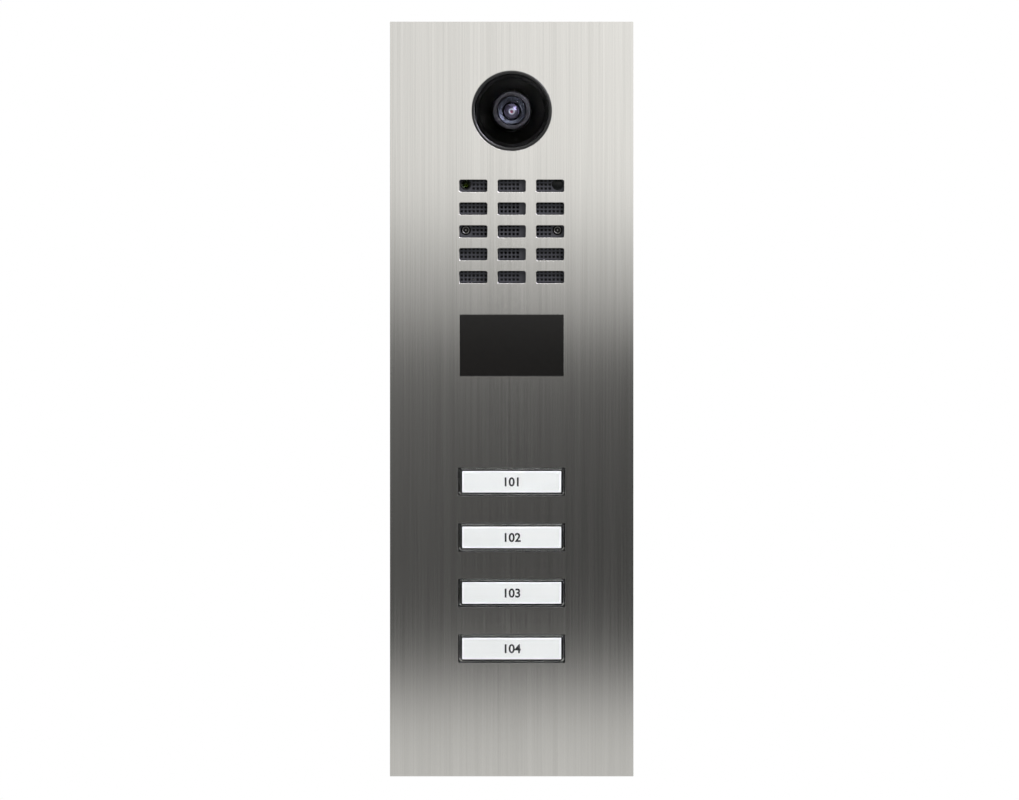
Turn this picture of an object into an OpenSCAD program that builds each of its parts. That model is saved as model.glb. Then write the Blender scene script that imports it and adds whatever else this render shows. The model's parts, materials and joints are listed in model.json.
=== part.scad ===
// Flush-mounted door intercom: camera, speaker grille, reader window and four call buttons
// behind one stainless front plate, with its module and its box in the wall.
// X points right, Z points up, the front faces -Y and the wall's surface is the plane Y = 0.
// The origin is the middle of the plate, on the wall's surface.

/* [Front plate] */
// Width of the front plate
plate_w = 125.5; // [115:0.5:160]
// Height of the front plate
plate_h = 389; // [385:1:480]
// Thickness of the front plate
plate_t = 3; // [2.4:0.1:4]
// Thickness of the rubber gasket between the plate and the wall
gasket_t = 1; // [0.8:0.1:1.6]
// Width of the gasket's strip
gasket_w = 4; // [3:0.5:5]
// Distance from the plate's edge to the gasket
gasket_inset = 1.5; // [1:0.5:3]
// Radius of the weld studs behind the plate
stud_r = 1.5; // [1.2:0.1:2]
// Distance of the weld studs from the middle of the plate
stud_x = 40; // [39.5:0.5:41]

/* [Wall box] */
// Depth of the box in the wall
box_depth = 48; // [46:1:70]
// Wall of the box
box_wall = 2; // [1.5:0.1:3]
// Width of the flange around the box
box_flange_w = 5; // [3:0.5:8]
// Thickness of that flange
box_flange_t = 1.5; // [1:0.1:2.5]
// Gap between the flange and the gasket
box_gasket_gap = 0.75; // [0.5:0.05:2]
// Outer corner radius of the box
box_corner_r = 5; // [3:0.5:8]
// Radius of the four fixing holes in the back of the box
fixing_hole_r = 2.5; // [2:0.1:3.5]
// Distance between the fixing holes, across
fixing_across = 70; // [60:1:76]
// Distance between the fixing holes, up and down
fixing_up = 240; // [220:1:280]
// Radius of the bore in each cable grommet
cable_bore_r = 5; // [3:0.1:6]
// Distance of each cable grommet from the middle
cable_x = 20; // [16:0.5:30]
// Height of the cable grommets above the plate's lower edge
cable_rise = 28.5; // [26:0.5:32]

/* [Camera] */
// Camera hole in the plate
camera_hole_d = 41.2; // [34:0.2:43]
// Camera centre, below the plate's upper edge
camera_drop = 46; // [46:0.5:58]
// How far the dome rises from its bezel
dome_rise = 8; // [5:0.5:12]
// Wall of the clear dome
dome_wall = 1.2; // [1:0.1:1.6]
// How far the bezel stands out of the plate
bezel_proud = 0.6; // [0.2:0.1:1.5]
// Wall of the bezel around the dome
bezel_wall = 1.7; // [1.4:0.1:2]
// Diameter of the lens barrel
lens_d = 20.2; // [18:0.2:21]
// Diameter of the ring that holds the front glass
retainer_d = 14.2; // [12:0.2:15]
// Diameter of the front glass
glass_d = 9.8; // [8:0.2:10.4]
// How far the lens barrel stands out of the plate, inside the dome
lens_proud = 2; // [0.5:0.1:3]

/* [Speaker grille] */
// Middle of the first row of slots, below the plate's upper edge
slot_drop = 84.65; // [84:0.05:96]
// Width of a slot
slot_w = 14.4; // [12:0.1:17.5]
// Height of a slot
slot_h = 6.4; // [4.5:0.1:8]
// Corner radius of a slot
slot_r = 0.9; // [0.5:0.1:1.5]
// Distance between the columns of slots
slot_pitch_x = 19.8; // [18.5:0.1:22]
// Distance between the rows of slots
slot_pitch_z = 11.76; // [10.5:0.01:12]
// Side of a square sound hole
sound_hole = 1.2; // [0.8:0.1:1.5]
// Distance between sound holes
sound_pitch = 2.07; // [1.9:0.01:2.3]
// Distance of the lock screws and the two sensors from the middle
element_x = 23.7; // [23.4:0.1:25]
// How far they sit above the middle of their slot
element_up = 1; // [0:0.1:1.2]
// Head diameter of a lock screw
lock_head_d = 4.2; // [3.8:0.1:4.6]
// Bore around that head
lock_bore_d = 5.35; // [5:0.05:5.6]

/* [Reader window] */
// Width of the window in the plate
window_w = 53.5; // [40:0.5:60]
// Height of the window in the plate
window_h = 31.8; // [24:0.1:36]
// Middle of the window, below the plate's upper edge
window_drop = 166.9; // [164:0.1:180]

/* [Call buttons] */
// Width of a button's cutout in the plate
key_cut_w = 55.25; // [44:0.25:60]
// Height of a button's cutout in the plate
key_cut_h = 14.6; // [12.4:0.1:18]
// Gap between a button and its cutout
key_gap = 0.6; // [0.4:0.05:0.8]
// Clear rim at the left and right of the name label
key_rim_w = 1.5; // [1.2:0.1:2.5]
// Clear rim above and below the name label
key_rim_h = 1.2; // [1:0.1:1.8]
// Distance between the buttons
key_pitch = 28.67; // [27:0.01:32]
// Middle of the lowest button, above the plate's lower edge
key_rise = 65.8; // [62:0.1:76]
// How far a button stands out of the plate
key_proud = 0.2; // [0:0.1:1]
// Travel of a button
key_travel = 0.8; // [0.5:0.05:1]

/* [Module] */
// Width of the black module behind the plate
module_w = 92; // [92:0.5:98]
// Depth of the module's rear cover
cover_depth = 32; // [32:0.5:42]
// Wall of the rear cover
cover_wall = 2; // [1.5:0.1:2.5]
// Thickness of the carrier behind the plate
carrier_t = 3; // [2.5:0.1:4]
// Radius of the pillars that the lock screws go into
pillar_r = 3; // [2.5:0.1:3.2]

/* [Hidden] */
$fn = 64;

// Clearances
fit = 0.1;          // between fixed pieces that slot together
loose = 0.3;        // between a frame and what drops into it
run = 0.4;          // between a moving piece and its guide
thread_gap = 0.05;  // between a screw and its thread
bolt_gap = 0.2;     // between a screw and a plain hole

// Levels from front to back
y_back = -gasket_t;
y_front = y_back - plate_t;
y_module = y_back + carrier_t;
y_cover = y_module + cover_depth;
seal_t = 0.5;
y_seal = y_back + seal_t;

// Heights
z_top = plate_h / 2;
camera_z = z_top - camera_drop;
slot_rows = 5;
slot_cols = 3;
grille_z = z_top - slot_drop - (slot_rows - 1) / 2 * slot_pitch_z;
window_z = z_top - window_drop;
key_count = 4;

function key_z(n) = -z_top + key_rise + (key_count - n) * key_pitch;
function slot_x(col) = (col - (slot_cols - 1) / 2) * slot_pitch_x;
function slot_z(row) = grille_z + ((slot_rows - 1) / 2 - row) * slot_pitch_z;

// Camera
camera_hole_r = camera_hole_d / 2;
bezel_r = camera_hole_r - fit;
bezel_bore_r = bezel_r - bezel_wall;
bezel_flange_r = camera_hole_r + 1.8;
y_bezel = y_front - bezel_proud;
dome_r = bezel_bore_r - fit;
dome_foot_r = dome_r + 1.3;
dome_foot_t = 1.6;
dome_sphere_r = (dome_r * dome_r + dome_rise * dome_rise) / (2 * dome_rise);
dome_centre = dome_sphere_r - dome_rise;
dome_inner_r = sqrt(pow(dome_sphere_r - dome_wall, 2) - dome_centre * dome_centre);
lens_r = lens_d / 2;
lens_neck_r = lens_r - 1.6;
lens_shoulder = y_module - 1;
y_lens = y_front - lens_proud;
glass_r = glass_d / 2;
glass_seat = y_lens + 6;
glass_t = 4;
retainer_r = retainer_d / 2;
retainer_t = 1.6;
camera_w = 2 * (bezel_flange_r + 0.6);
camera_depth = 10.4;
camera_wall = 2;
camera_screw_xz = camera_w / 2 - 3.4;
camera_screw_r = 1;
board_t = 1.6;
y_camera_board = y_module + camera_depth;

// Sound module
grille_recess = 1;
y_grille = y_back + grille_recess;
grille_w = (slot_cols - 1) * slot_pitch_x + slot_w + 7.4;
grille_h = (slot_rows - 1) * slot_pitch_z + slot_h + 7;
grille_seal_w = 2.4;
audio_t = 4;
y_audio = y_module + audio_t;
audio_lap = 2;
speaker_r = 19.8;
speaker_depth = 10.5;
magnet_r = 11.5;
magnet_t = 8;
sound_bore_r = 16.6;
sensor_r = 2.9;
sensor_lens_r = 2.3;
sensor_collar = 1;
lock_screw_r = 1.25;
lock_z = slot_z(2) + element_up;
sensor_z = slot_z(0) + element_up;
lock_screw_len = 12;
lock_head_t = 1.6;
microphone_r = 3;
microphone_x = -slot_pitch_x;
microphone_z = slot_z(slot_rows - 1) - 1;
microphone_depth = 6;

// Sound holes lie on one grid. It leaves out a rib beside each middle slot, and the
// corner that a screw or a sensor takes up.
rib_from = 2 * sound_pitch;
rib_to = 4 * sound_pitch;
element_from = element_x - 3;

function is_rib(x) = x > rib_from && x < rib_to;
function is_element(x, row) = (row == 0 || row == 2) && abs(x) > element_from;
function is_seen(x, col) = abs(x - slot_x(col)) < slot_w / 2 + sound_hole / 3;

// Reader
window_recess = 0.2;
window_flange = 2.3;
window_flange_w = window_w + 2 * window_flange;
window_flange_h = window_h + 2 * window_flange;
reader_inner_w = window_flange_w - 2;
reader_inner_h = window_flange_h - 2;
reader_rim = 5;
reader_depth = 10;
reader_back = 2;

// Call buttons
key_w = key_cut_w - 2 * key_gap;
key_h = key_cut_h - 2 * key_gap;
label_w = key_w - 2 * key_rim_w;
label_h = key_h - 2 * key_rim_h;
label_t = 0.5;
key_face_t = 1.2;
key_corner_r = 1.5;
key_cut_r = 0.4;
key_flange = 1.4;
key_flange_w = key_cut_w + 2 * key_flange;
key_flange_h = key_cut_h + 2 * key_flange;
y_key = y_front - key_proud;
y_label = y_key + key_face_t;
y_key_flange = y_back + loose + fit / 2;
key_flange_t = 1.45;
key_base_t = 1.5;
y_key_base = y_key_flange + key_flange_t;
stem_r = 2.5;
stem_len = 3.7;
y_stem = y_key_base + key_base_t;
y_stem_end = y_stem + stem_len;
guide_t = 1.5;
y_guide = y_stem + key_travel + run + 0.5;
dome_height = 4;
y_button_board = y_stem_end + dome_height;
key_frame_w = key_flange_w + 2 * run + 11.4;
key_frame_end = 13;
key_frame_h = (key_count - 1) * key_pitch + 2 * key_frame_end;
key_frame_z = (key_z(1) + key_z(key_count)) / 2;
led_x = 16;
led_side = 3;
led_t = 0.8;
light_w = 12;
light_h = 8;

// Carrier and cover
carrier_top = camera_z + camera_w / 2 + 2.5;
carrier_bottom = key_z(key_count) - 20;
carrier_h = carrier_top - carrier_bottom;
carrier_z = (carrier_top + carrier_bottom) / 2;
stud_inset = 6;
stud_rows = 4;
stud_step = (carrier_h - 2 * stud_inset) / (stud_rows - 1);
stud_len = 8;
nut_flats = 5.5;
nut_t = 2.4;
cover_screw_r = 1.5;
cover_boss_r = 4.4;
cover_head_r = 2.75;
cover_head_t = 2;
cover_head_y = y_module + 8;

function stud_z(row) = carrier_top - stud_inset - row * stud_step;
function cover_screw_z(row) = stud_z(row) - stud_step / 2;

// Main board
board_screw_r = 1.25;
board_screw_len = 4.4;
board_head_r = 2.2;
board_head_t = 1.4;
y_main_board = y_cover - cover_wall - 3.4 - board_t;
y_main_back = y_main_board + board_t;
main_board_w = 70;
main_board_top = grille_z + grille_h / 2 + 5;
main_board_h = 152;
main_board_z = main_board_top - main_board_h / 2;
main_screw_x = main_board_w / 2 - 4;
main_screw_z = main_board_h / 2 - 4;
socket_x = -16;
socket_z = main_board_top - main_board_h + 20;
socket_w = 16.4;
socket_h = 21;
socket_depth = 15.5;
terminal_x = 16;
terminal_ways = 6;
terminal_pitch = 5;
terminal_w = terminal_ways * terminal_pitch + 2;
terminal_h = 12;
terminal_depth = 10;
terminal_z = socket_z - socket_h / 2 + terminal_h / 2;

// Wall box
seal_outer_w = plate_w - 2 * gasket_inset;
seal_outer_h = plate_h - 2 * gasket_inset;
seal_inner_w = seal_outer_w - 2 * gasket_w;
seal_inner_h = seal_outer_h - 2 * gasket_w;
flange_outer_w = seal_inner_w - 2 * box_gasket_gap;
flange_outer_h = seal_inner_h - 2 * box_gasket_gap;
box_w = flange_outer_w - 2 * box_flange_w;
box_h = flange_outer_h - 2 * box_flange_w;
box_inner_w = box_w - 2 * box_wall;
box_inner_h = box_h - 2 * box_wall;
y_box_inner = box_depth - box_wall;
cable_z = -z_top + cable_rise;
grommet_r = cable_bore_r + 3;
grommet_lip = 2;
hook_x = 30;
hook_w = 16;
hook_t = 1.5;
hook_z = box_inner_h / 2 - 5.6;
lip_y = 3.5;
lip_drop = 3.2;

// ---- Helpers ----

// A flat shape in X and Z, from y to y + t
module slab(y, t) {
    translate([0, y + t, 0])
        rotate([90, 0, 0])
            linear_extrude(t)
                children();
}

// A rod along Y, from y to y + len
module rod(y, len, r) {
    translate([0, y + len, 0])
        rotate([90, 0, 0])
            cylinder(h = len, r = r);
}

// A turned shape about Y: its profile is [radius, y]
module turned() {
    rotate([-90, 0, 0])
        rotate_extrude()
            children();
}

// Moves a piece to a place on the plate
module at(x, z) {
    translate([x, 0, z])
        children();
}

// A box with its middle at x, z, from y to y + t
module block(w, h, y, t) {
    translate([-w / 2, y, -h / 2])
        cube([w, t, h]);
}

module rect(w, h) {
    square([w, h], center = true);
}

module soft_rect(w, h, r) {
    rect(w - 2 * r, h);
    rect(w, h - 2 * r);
    for (x = [-1, 1], z = [-1, 1])
        translate([x * (w / 2 - r), z * (h / 2 - r)])
            circle(r);
}

module at_slots() {
    for (col = [0 : slot_cols - 1], row = [0 : slot_rows - 1])
        translate([slot_x(col), slot_z(row)])
            children();
}

module at_keys() {
    for (n = [1 : key_count])
        at(0, key_z(n))
            children();
}

module at_studs() {
    for (side = [-1, 1], row = [0 : stud_rows - 1])
        at(side * stud_x, stud_z(row))
            children();
}

module at_cover_screws() {
    for (side = [-1, 1], row = [0 : stud_rows - 2])
        at(side * stud_x, cover_screw_z(row))
            children();
}

module at_camera_screws() {
    for (x = [-1, 1], z = [-1, 1])
        at(x * camera_screw_xz, camera_z + z * camera_screw_xz)
            children();
}

module at_locks() {
    for (side = [-1, 1])
        at(side * element_x, lock_z)
            children();
}

module at_main_screws() {
    for (x = [-1, 1], z = [-1, 1])
        at(x * main_screw_x, main_board_z + z * main_screw_z)
            children();
}

module at_button_screws() {
    for (x = [-1, 1], z = [-1, 1])
        at(x * (key_frame_w / 2 - 4), key_frame_z + z * (key_frame_h / 2 - 4))
            children();
}

module at_cables() {
    for (side = [-1, 1])
        at(side * cable_x, cable_z)
            children();
}

module at_fixings() {
    for (x = [-1, 1], z = [-1, 1])
        at(x * fixing_across / 2, z * fixing_up / 2)
            children();
}

// ---- Front plate and wall box ----

module front_plate() {
    color("#b9b7b2")
        slab(y_front, plate_t)
            difference() {
                rect(plate_w, plate_h);
                translate([0, camera_z])
                    circle(camera_hole_r);
                at_slots()
                    soft_rect(slot_w, slot_h, slot_r);
                translate([0, window_z])
                    rect(window_w, window_h);
                for (n = [1 : key_count])
                    translate([0, key_z(n)])
                        soft_rect(key_cut_w, key_cut_h, key_cut_r);
            }
}

module plate_studs() {
    color("#c4c4c0")
        at_studs()
            rod(y_back, stud_len, stud_r);
}

module stud_nuts() {
    color("#a9a9a4")
        at_studs()
            difference() {
                translate([0, y_module + nut_t, 0])
                    rotate([90, 0, 0])
                        cylinder(h = nut_t, r = nut_flats / 2 / cos(30), $fn = 6);
                rod(y_module - 1, nut_t + 2, stud_r + thread_gap);
            }
}

module plate_gasket() {
    color("#1c1c1c")
        slab(y_back, gasket_t)
            difference() {
                rect(seal_outer_w, seal_outer_h);
                rect(seal_inner_w, seal_inner_h);
            }
}

module hanging_hooks() {
    leg_y = lip_y + hook_t + loose;
    color("#a9a9a4")
        for (side = [-1, 1])
            translate([side * hook_x - hook_w / 2, 0, hook_z]) {
                translate([0, y_back, 0])
                    cube([hook_w, leg_y + hook_t - y_back, hook_t]);
                translate([0, leg_y, 0])
                    cube([hook_w, hook_t, 4.6]);
            }
}

module wall_box() {
    lip_w = 2 * (hook_x + hook_w / 2 + 3);
    color("#8e9296") {
        difference() {
            union() {
                slab(0, box_flange_t)
                    soft_rect(flange_outer_w, flange_outer_h, box_corner_r);
                slab(0, box_depth)
                    soft_rect(box_w, box_h, box_corner_r);
            }
            slab(-1, y_box_inner + 1)
                soft_rect(box_inner_w, box_inner_h, box_corner_r - box_wall);
            at_cables()
                rod(y_box_inner - 1, box_wall + 2, grommet_r);
            at_fixings()
                rod(y_box_inner - 1, box_wall + 2, fixing_hole_r);
        }
        translate([-lip_w / 2, lip_y, box_inner_h / 2 - lip_drop])
            cube([lip_w, hook_t, lip_drop + box_wall / 2]);
    }
}

module cable_grommets() {
    color("#202020")
        at_cables()
            difference() {
                union() {
                    rod(y_box_inner, box_wall, grommet_r);
                    rod(y_box_inner - grommet_lip, grommet_lip, grommet_r + grommet_lip);
                }
                rod(y_box_inner - grommet_lip - 1, grommet_lip + box_wall + 2, cable_bore_r);
            }
}

module lock_pillars() {
    color("#c8c8c6")
        at_locks()
            difference() {
                rod(y_audio, y_box_inner - y_audio, pillar_r);
                rod(y_audio - 1, lock_screw_len, lock_screw_r + thread_gap);
            }
}

module lock_screws() {
    star_r = 1.2;
    pin_r = 0.35;
    star_depth = 1;
    y_head = y_module - lock_head_t;
    color("#5a5a5a")
        at_locks() {
            difference() {
                rod(y_head, lock_head_t, lock_head_d / 2);
                difference() {
                    for (turn = [0, 60, 120])
                        rotate([0, turn, 0])
                            block(2 * star_r, 0.9, y_head - 1, star_depth + 1);
                    rod(y_head - 1.5, star_depth + 2, pin_r);
                }
            }
            rod(y_module, lock_screw_len, lock_screw_r);
        }
}

// ---- Module ----

module module_carrier() {
    color("#232325")
        difference() {
            slab(y_back, carrier_t)
                difference() {
                    translate([0, carrier_z])
                        rect(module_w, carrier_h);
                    translate([0, camera_z])
                        circle(bezel_flange_r + loose);
                    translate([0, grille_z])
                        rect(grille_w + 2 * loose, grille_h + 2 * loose);
                    translate([0, window_z])
                        rect(window_flange_w + 2 * loose, window_flange_h + 2 * loose);
                    for (n = [1 : key_count])
                        translate([0, key_z(n)])
                            rect(key_flange_w + 2 * run, key_flange_h + 2 * run);
                }
            at_studs()
                rod(y_back - 1, carrier_t + 2, stud_r + bolt_gap);
            at_cover_screws()
                rod(y_back - 1, carrier_t + 2, cover_screw_r + thread_gap);
            at_camera_screws()
                rod(y_back - 1, carrier_t + 2, camera_screw_r + thread_gap);
        }
}

// The opening in the rear cover for a connector of this size
module cover_window(w, h) {
    block(w + 2 * loose, h + 2 * loose, y_cover - cover_wall - 1, cover_wall + 2);
}

module rear_cover() {
    inner_w = module_w - 2 * cover_wall;
    inner_h = carrier_h - 2 * cover_wall;
    tube_y = y_audio + 3.5;
    tube_r = pillar_r + run + 1.5;
    color("#2a2a2c")
        difference() {
            union() {
                difference() {
                    slab(y_module, cover_depth)
                        translate([0, carrier_z])
                            rect(module_w, carrier_h);
                    slab(y_module - 1, cover_depth - cover_wall + 1)
                        translate([0, carrier_z])
                            rect(inner_w, inner_h);
                }
                at_cover_screws()
                    rod(y_module, cover_depth - cover_wall / 2, cover_boss_r);
                at_locks()
                    rod(tube_y, y_cover - tube_y - cover_wall / 2, tube_r);
                at_main_screws()
                    rod(y_main_back, y_cover - y_main_back - cover_wall / 2, 3);
            }
            at_cover_screws() {
                rod(y_module - 1, cover_depth + 2, cover_screw_r + bolt_gap);
                rod(cover_head_y, cover_depth, cover_head_r + bolt_gap);
            }
            at_locks()
                rod(tube_y - 1, y_cover - tube_y + 2, pillar_r + run);
            at_main_screws()
                rod(y_main_back - 1, 4, board_screw_r + thread_gap);
            at(socket_x, socket_z)
                cover_window(socket_w, socket_h);
            at(terminal_x, terminal_z)
                cover_window(terminal_w, terminal_h);
        }
}

module cover_screws() {
    color("#b0b0ac")
        at_cover_screws() {
            rod(y_back + 0.5, cover_head_y - y_back - 0.5, cover_screw_r);
            difference() {
                rod(cover_head_y, cover_head_t, cover_head_r);
                block(3.4, 0.8, cover_head_y + 1, 2);
                block(0.8, 3.4, cover_head_y + 1, 2);
            }
        }
}

module module_seals() {
    color("#1a1a1a") {
        at(0, camera_z)
            difference() {
                rod(y_back, seal_t, bezel_flange_r);
                rod(y_back - 1, seal_t + 2, camera_hole_r + fit);
            }
        slab(y_back, seal_t)
            translate([0, window_z])
                difference() {
                    rect(window_flange_w, window_flange_h);
                    rect(window_w + 2 * fit, window_h + 2 * fit);
                }
        slab(y_back, grille_recess)
            translate([0, grille_z])
                difference() {
                    rect(grille_w, grille_h);
                    rect(grille_w - 2 * grille_seal_w, grille_h - 2 * grille_seal_w);
                }
    }
}

// ---- Camera ----

module camera_bezel() {
    color("#151516")
        at(0, camera_z)
            turned()
                polygon([
                    [bezel_bore_r, y_bezel],
                    [bezel_r - 0.4, y_bezel],
                    [bezel_r, y_bezel + 0.4],
                    [bezel_r, y_seal],
                    [bezel_flange_r, y_seal],
                    [bezel_flange_r, y_module],
                    [dome_foot_r + fit, y_module],
                    [dome_foot_r + fit, y_module - dome_foot_t - fit],
                    [bezel_bore_r, y_module - dome_foot_t - fit]
                ]);
}

module camera_dome() {
    y_centre = y_bezel + dome_centre;
    color("#3a3a42", 0.5)
        at(0, camera_z)
            turned() {
                difference() {
                    intersection() {
                        translate([0, y_centre])
                            circle(dome_sphere_r);
                        translate([0, y_bezel - dome_rise - 1])
                            square([dome_r, dome_rise + 1]);
                    }
                    translate([0, y_centre])
                        circle(dome_sphere_r - dome_wall);
                }
                translate([dome_inner_r, y_bezel])
                    square([dome_r - dome_inner_r, y_module - y_bezel]);
                translate([dome_inner_r, y_module - dome_foot_t])
                    square([dome_foot_r - dome_inner_r, dome_foot_t]);
            }
}

module camera_baffle() {
    outer = dome_inner_r - fit;
    bore = lens_r + loose;
    color("#0c0c0d")
        at(0, camera_z)
            turned()
                polygon([
                    [bore, y_module - 1.7],
                    [outer, y_bezel + 1.6],
                    [outer, y_module],
                    [bore, y_module]
                ]);
}

module lens_barrel() {
    end = y_camera_board - 3.4;
    color("#3c3c40")
        at(0, camera_z)
            turned()
                polygon([
                    [retainer_r + fit, y_lens],
                    [lens_r - 0.3, y_lens],
                    [lens_r, y_lens + 0.3],
                    [lens_r, lens_shoulder],
                    [lens_neck_r, lens_shoulder],
                    [lens_neck_r, end],
                    [glass_r, end],
                    [glass_r, glass_seat + 1],
                    [glass_r - 1, glass_seat + 1],
                    [glass_r - 1, glass_seat],
                    [glass_r + fit, glass_seat],
                    [glass_r + fit, glass_seat - glass_t],
                    [retainer_r + fit, glass_seat - glass_t]
                ]);
}

module lens_retainer() {
    y_ring = glass_seat - glass_t - retainer_t;
    color("#4a4b52")
        at(0, camera_z)
            turned()
                polygon([
                    [glass_r + fit, y_ring + retainer_t],
                    [glass_r + fit, y_ring + retainer_t / 2],
                    [retainer_r - 0.5, y_ring],
                    [retainer_r, y_ring],
                    [retainer_r, y_ring + retainer_t]
                ]);
}

module lens_front_element() {
    bulge = 1.3;
    sphere_r = (glass_r * glass_r + bulge * bulge) / (2 * bulge);
    y_rim = glass_seat - glass_t;
    color("#6a6a86")
        at(0, camera_z)
            union() {
                rod(y_rim, glass_t, glass_r);
                intersection() {
                    translate([0, y_rim + sphere_r - bulge, 0])
                        sphere(sphere_r);
                    rod(y_rim - bulge - 1, bulge + 1.5, glass_r);
                }
            }
}

module camera_housing() {
    color("#1d1d1f")
        difference() {
            at(0, camera_z)
                difference() {
                    union() {
                        difference() {
                            block(camera_w, camera_w, y_module, camera_depth);
                            block(
                                camera_w - 2 * camera_wall,
                                camera_w - 2 * camera_wall,
                                y_module + camera_wall,
                                camera_depth
                            );
                        }
                        rod(y_module, 8, lens_neck_r + 1.7);
                        for (x = [-1, 1], z = [-1, 1])
                            at(x * camera_screw_xz, z * camera_screw_xz)
                                rod(y_module, camera_depth, 2.6);
                    }
                    rod(y_module - 1, 10, lens_neck_r + thread_gap);
                }
            at_camera_screws()
                rod(y_module - 1, camera_depth + 2, camera_screw_r + bolt_gap);
        }
}

module camera_board() {
    sensor_w = 9;
    sensor_h = 7;
    sensor_t = 1;
    color("#1f5a3a")
        union() {
            difference() {
                at(0, camera_z)
                    block(camera_w - 1, camera_w - 1, y_camera_board, board_t);
                at_camera_screws()
                    rod(y_camera_board - 1, board_t + 2, camera_screw_r + bolt_gap);
            }
            at(0, camera_z)
                block(sensor_w, sensor_h, y_camera_board - sensor_t, sensor_t);
        }
}

module camera_screws() {
    head_r = 1.9;
    head_t = 1.4;
    y_head = y_camera_board + board_t;
    color("#b0b0ac")
        at_camera_screws() {
            rod(y_back + 0.5, y_head - y_back - 0.5, camera_screw_r);
            difference() {
                rod(y_head, head_t, head_r);
                block(2.4, 0.5, y_head + 0.7, 1);
                block(0.5, 2.4, y_head + 0.7, 1);
            }
        }
}

// ---- Grille, speaker, microphone and sensors ----

module sound_holes() {
    last = ceil((slot_x(slot_cols - 1) + slot_w / 2) / sound_pitch);
    for (col = [0 : slot_cols - 1], row = [0 : slot_rows - 1])
        for (k = [-last : last - 1])
            let (x = (k + 0.5) * sound_pitch)
                if (is_seen(x, col) && !is_rib(x) && !is_element(x, row))
                    for (step = [-1.5 : 1.5])
                        translate([x, slot_z(row) + step * sound_pitch])
                            rect(sound_hole, sound_hole);
}

module grille_plate() {
    color("#3d3d45")
        slab(y_grille, y_module - y_grille)
            difference() {
                translate([0, grille_z])
                    rect(grille_w, grille_h);
                sound_holes();
                for (side = [-1, 1]) {
                    translate([side * element_x, lock_z])
                        circle(lock_bore_d / 2);
                    translate([side * element_x, sensor_z])
                        circle(sensor_r + thread_gap);
                }
            }
}

module audio_frame() {
    frame_w = grille_w + 2 * audio_lap;
    frame_h = grille_h + 2 * audio_lap;
    color("#1d1d1f")
        difference() {
            union() {
                at(0, grille_z)
                    block(frame_w, frame_h, y_module, audio_t);
                at(-element_x, sensor_z)
                    rod(y_grille + 0.1, y_module - y_grille, sensor_r);
            }
            at(0, grille_z)
                rod(y_module - 1, audio_t + 2, sound_bore_r);
            at_locks()
                rod(y_module - 1, audio_t + 2, lock_screw_r + bolt_gap);
            at(-element_x, sensor_z)
                rod(y_grille - 1, y_audio - y_grille + 2, sensor_lens_r + thread_gap);
            at(element_x, sensor_z)
                rod(y_module - 1, audio_t + 2, sensor_r + thread_gap);
            at(microphone_x, microphone_z)
                rod(y_module - 1, audio_t + 2, 1.6);
        }
}

module speaker_basket() {
    color("#8c8c88")
        at(0, grille_z)
            translate([0, y_audio, 0])
                turned()
                    polygon([
                        [speaker_r - 2.8, 0],
                        [speaker_r, 0],
                        [speaker_r, 1.5],
                        [speaker_r - 1.6, 1.5],
                        [magnet_r + 0.5, speaker_depth - 1.5],
                        [magnet_r + 0.5, speaker_depth],
                        [0, speaker_depth],
                        [0, speaker_depth - 1.5],
                        [magnet_r - 0.7, speaker_depth - 1.5],
                        [speaker_r - 2.8, 1.5]
                    ]);
}

module speaker_cone() {
    rim_r = speaker_r - 2.8;
    color("#303030")
        at(0, grille_z)
            translate([0, y_audio, 0])
                turned()
                    polygon([
                        [rim_r, 0.4],
                        [rim_r, 0.9],
                        [rim_r - 1.6, 0.9],
                        [6, 5.4],
                        [0, 3.6],
                        [0, 3.1],
                        [6, 4.8],
                        [rim_r - 1.8, 0.4]
                    ]);
}

module speaker_magnet() {
    color("#55565a")
        at(0, grille_z)
            union() {
                rod(y_audio + speaker_depth, magnet_t - 1.5, magnet_r);
                rod(y_audio + speaker_depth + magnet_t - 1.5, 1.5, magnet_r - 1);
            }
}

module microphone_boot() {
    color("#181818")
        at(microphone_x, microphone_z)
            difference() {
                rod(y_audio, microphone_depth, microphone_r + 1.4);
                rod(y_audio - 1, 3, 1.6);
                rod(y_audio + 1, microphone_depth, microphone_r + thread_gap);
            }
}

module microphone_capsule() {
    color("#b8b8b4")
        at(microphone_x, microphone_z)
            rod(y_audio + 1, microphone_depth - 1.5, microphone_r);
}

// A sensor's window: a rod through the sound frame, with a collar against its back
module sensor_rod(y, r) {
    rod(y, y_audio - y, r);
    rod(y_audio, sensor_collar, r + sensor_collar);
}

module light_sensor_lens() {
    color("#9fb59a")
        at(-element_x, sensor_z)
            sensor_rod(y_grille + 0.3, sensor_lens_r);
}

module infrared_window() {
    color("#1a1f20")
        at(element_x, sensor_z)
            sensor_rod(y_grille + 0.1, sensor_r);
}

// ---- Reader ----

module reader_window() {
    y_glass = y_front + window_recess;
    color("#1b1b1c")
        at(0, window_z)
            union() {
                block(window_w - 2 * fit, window_h - 2 * fit, y_glass, y_seal - y_glass);
                block(window_flange_w, window_flange_h, y_seal, y_module - y_seal);
            }
}

module reader_frame() {
    frame_w = reader_inner_w + 2 * reader_rim;
    frame_h = reader_inner_h + 2 * reader_rim;
    post_h = reader_depth - reader_back - 3.6;
    color("#1d1d1f")
        at(0, window_z)
            union() {
                difference() {
                    block(frame_w, frame_h, y_module, reader_depth);
                    block(reader_inner_w, reader_inner_h, y_module - 1, reader_depth - reader_back + 1);
                }
                for (x = [-1, 1], z = [-1, 1])
                    at(x * (reader_inner_w / 2 - 5), z * (reader_inner_h / 2 - 5))
                        rod(y_module + reader_depth - reader_back - post_h, post_h + 1, 2.2);
            }
}

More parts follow.
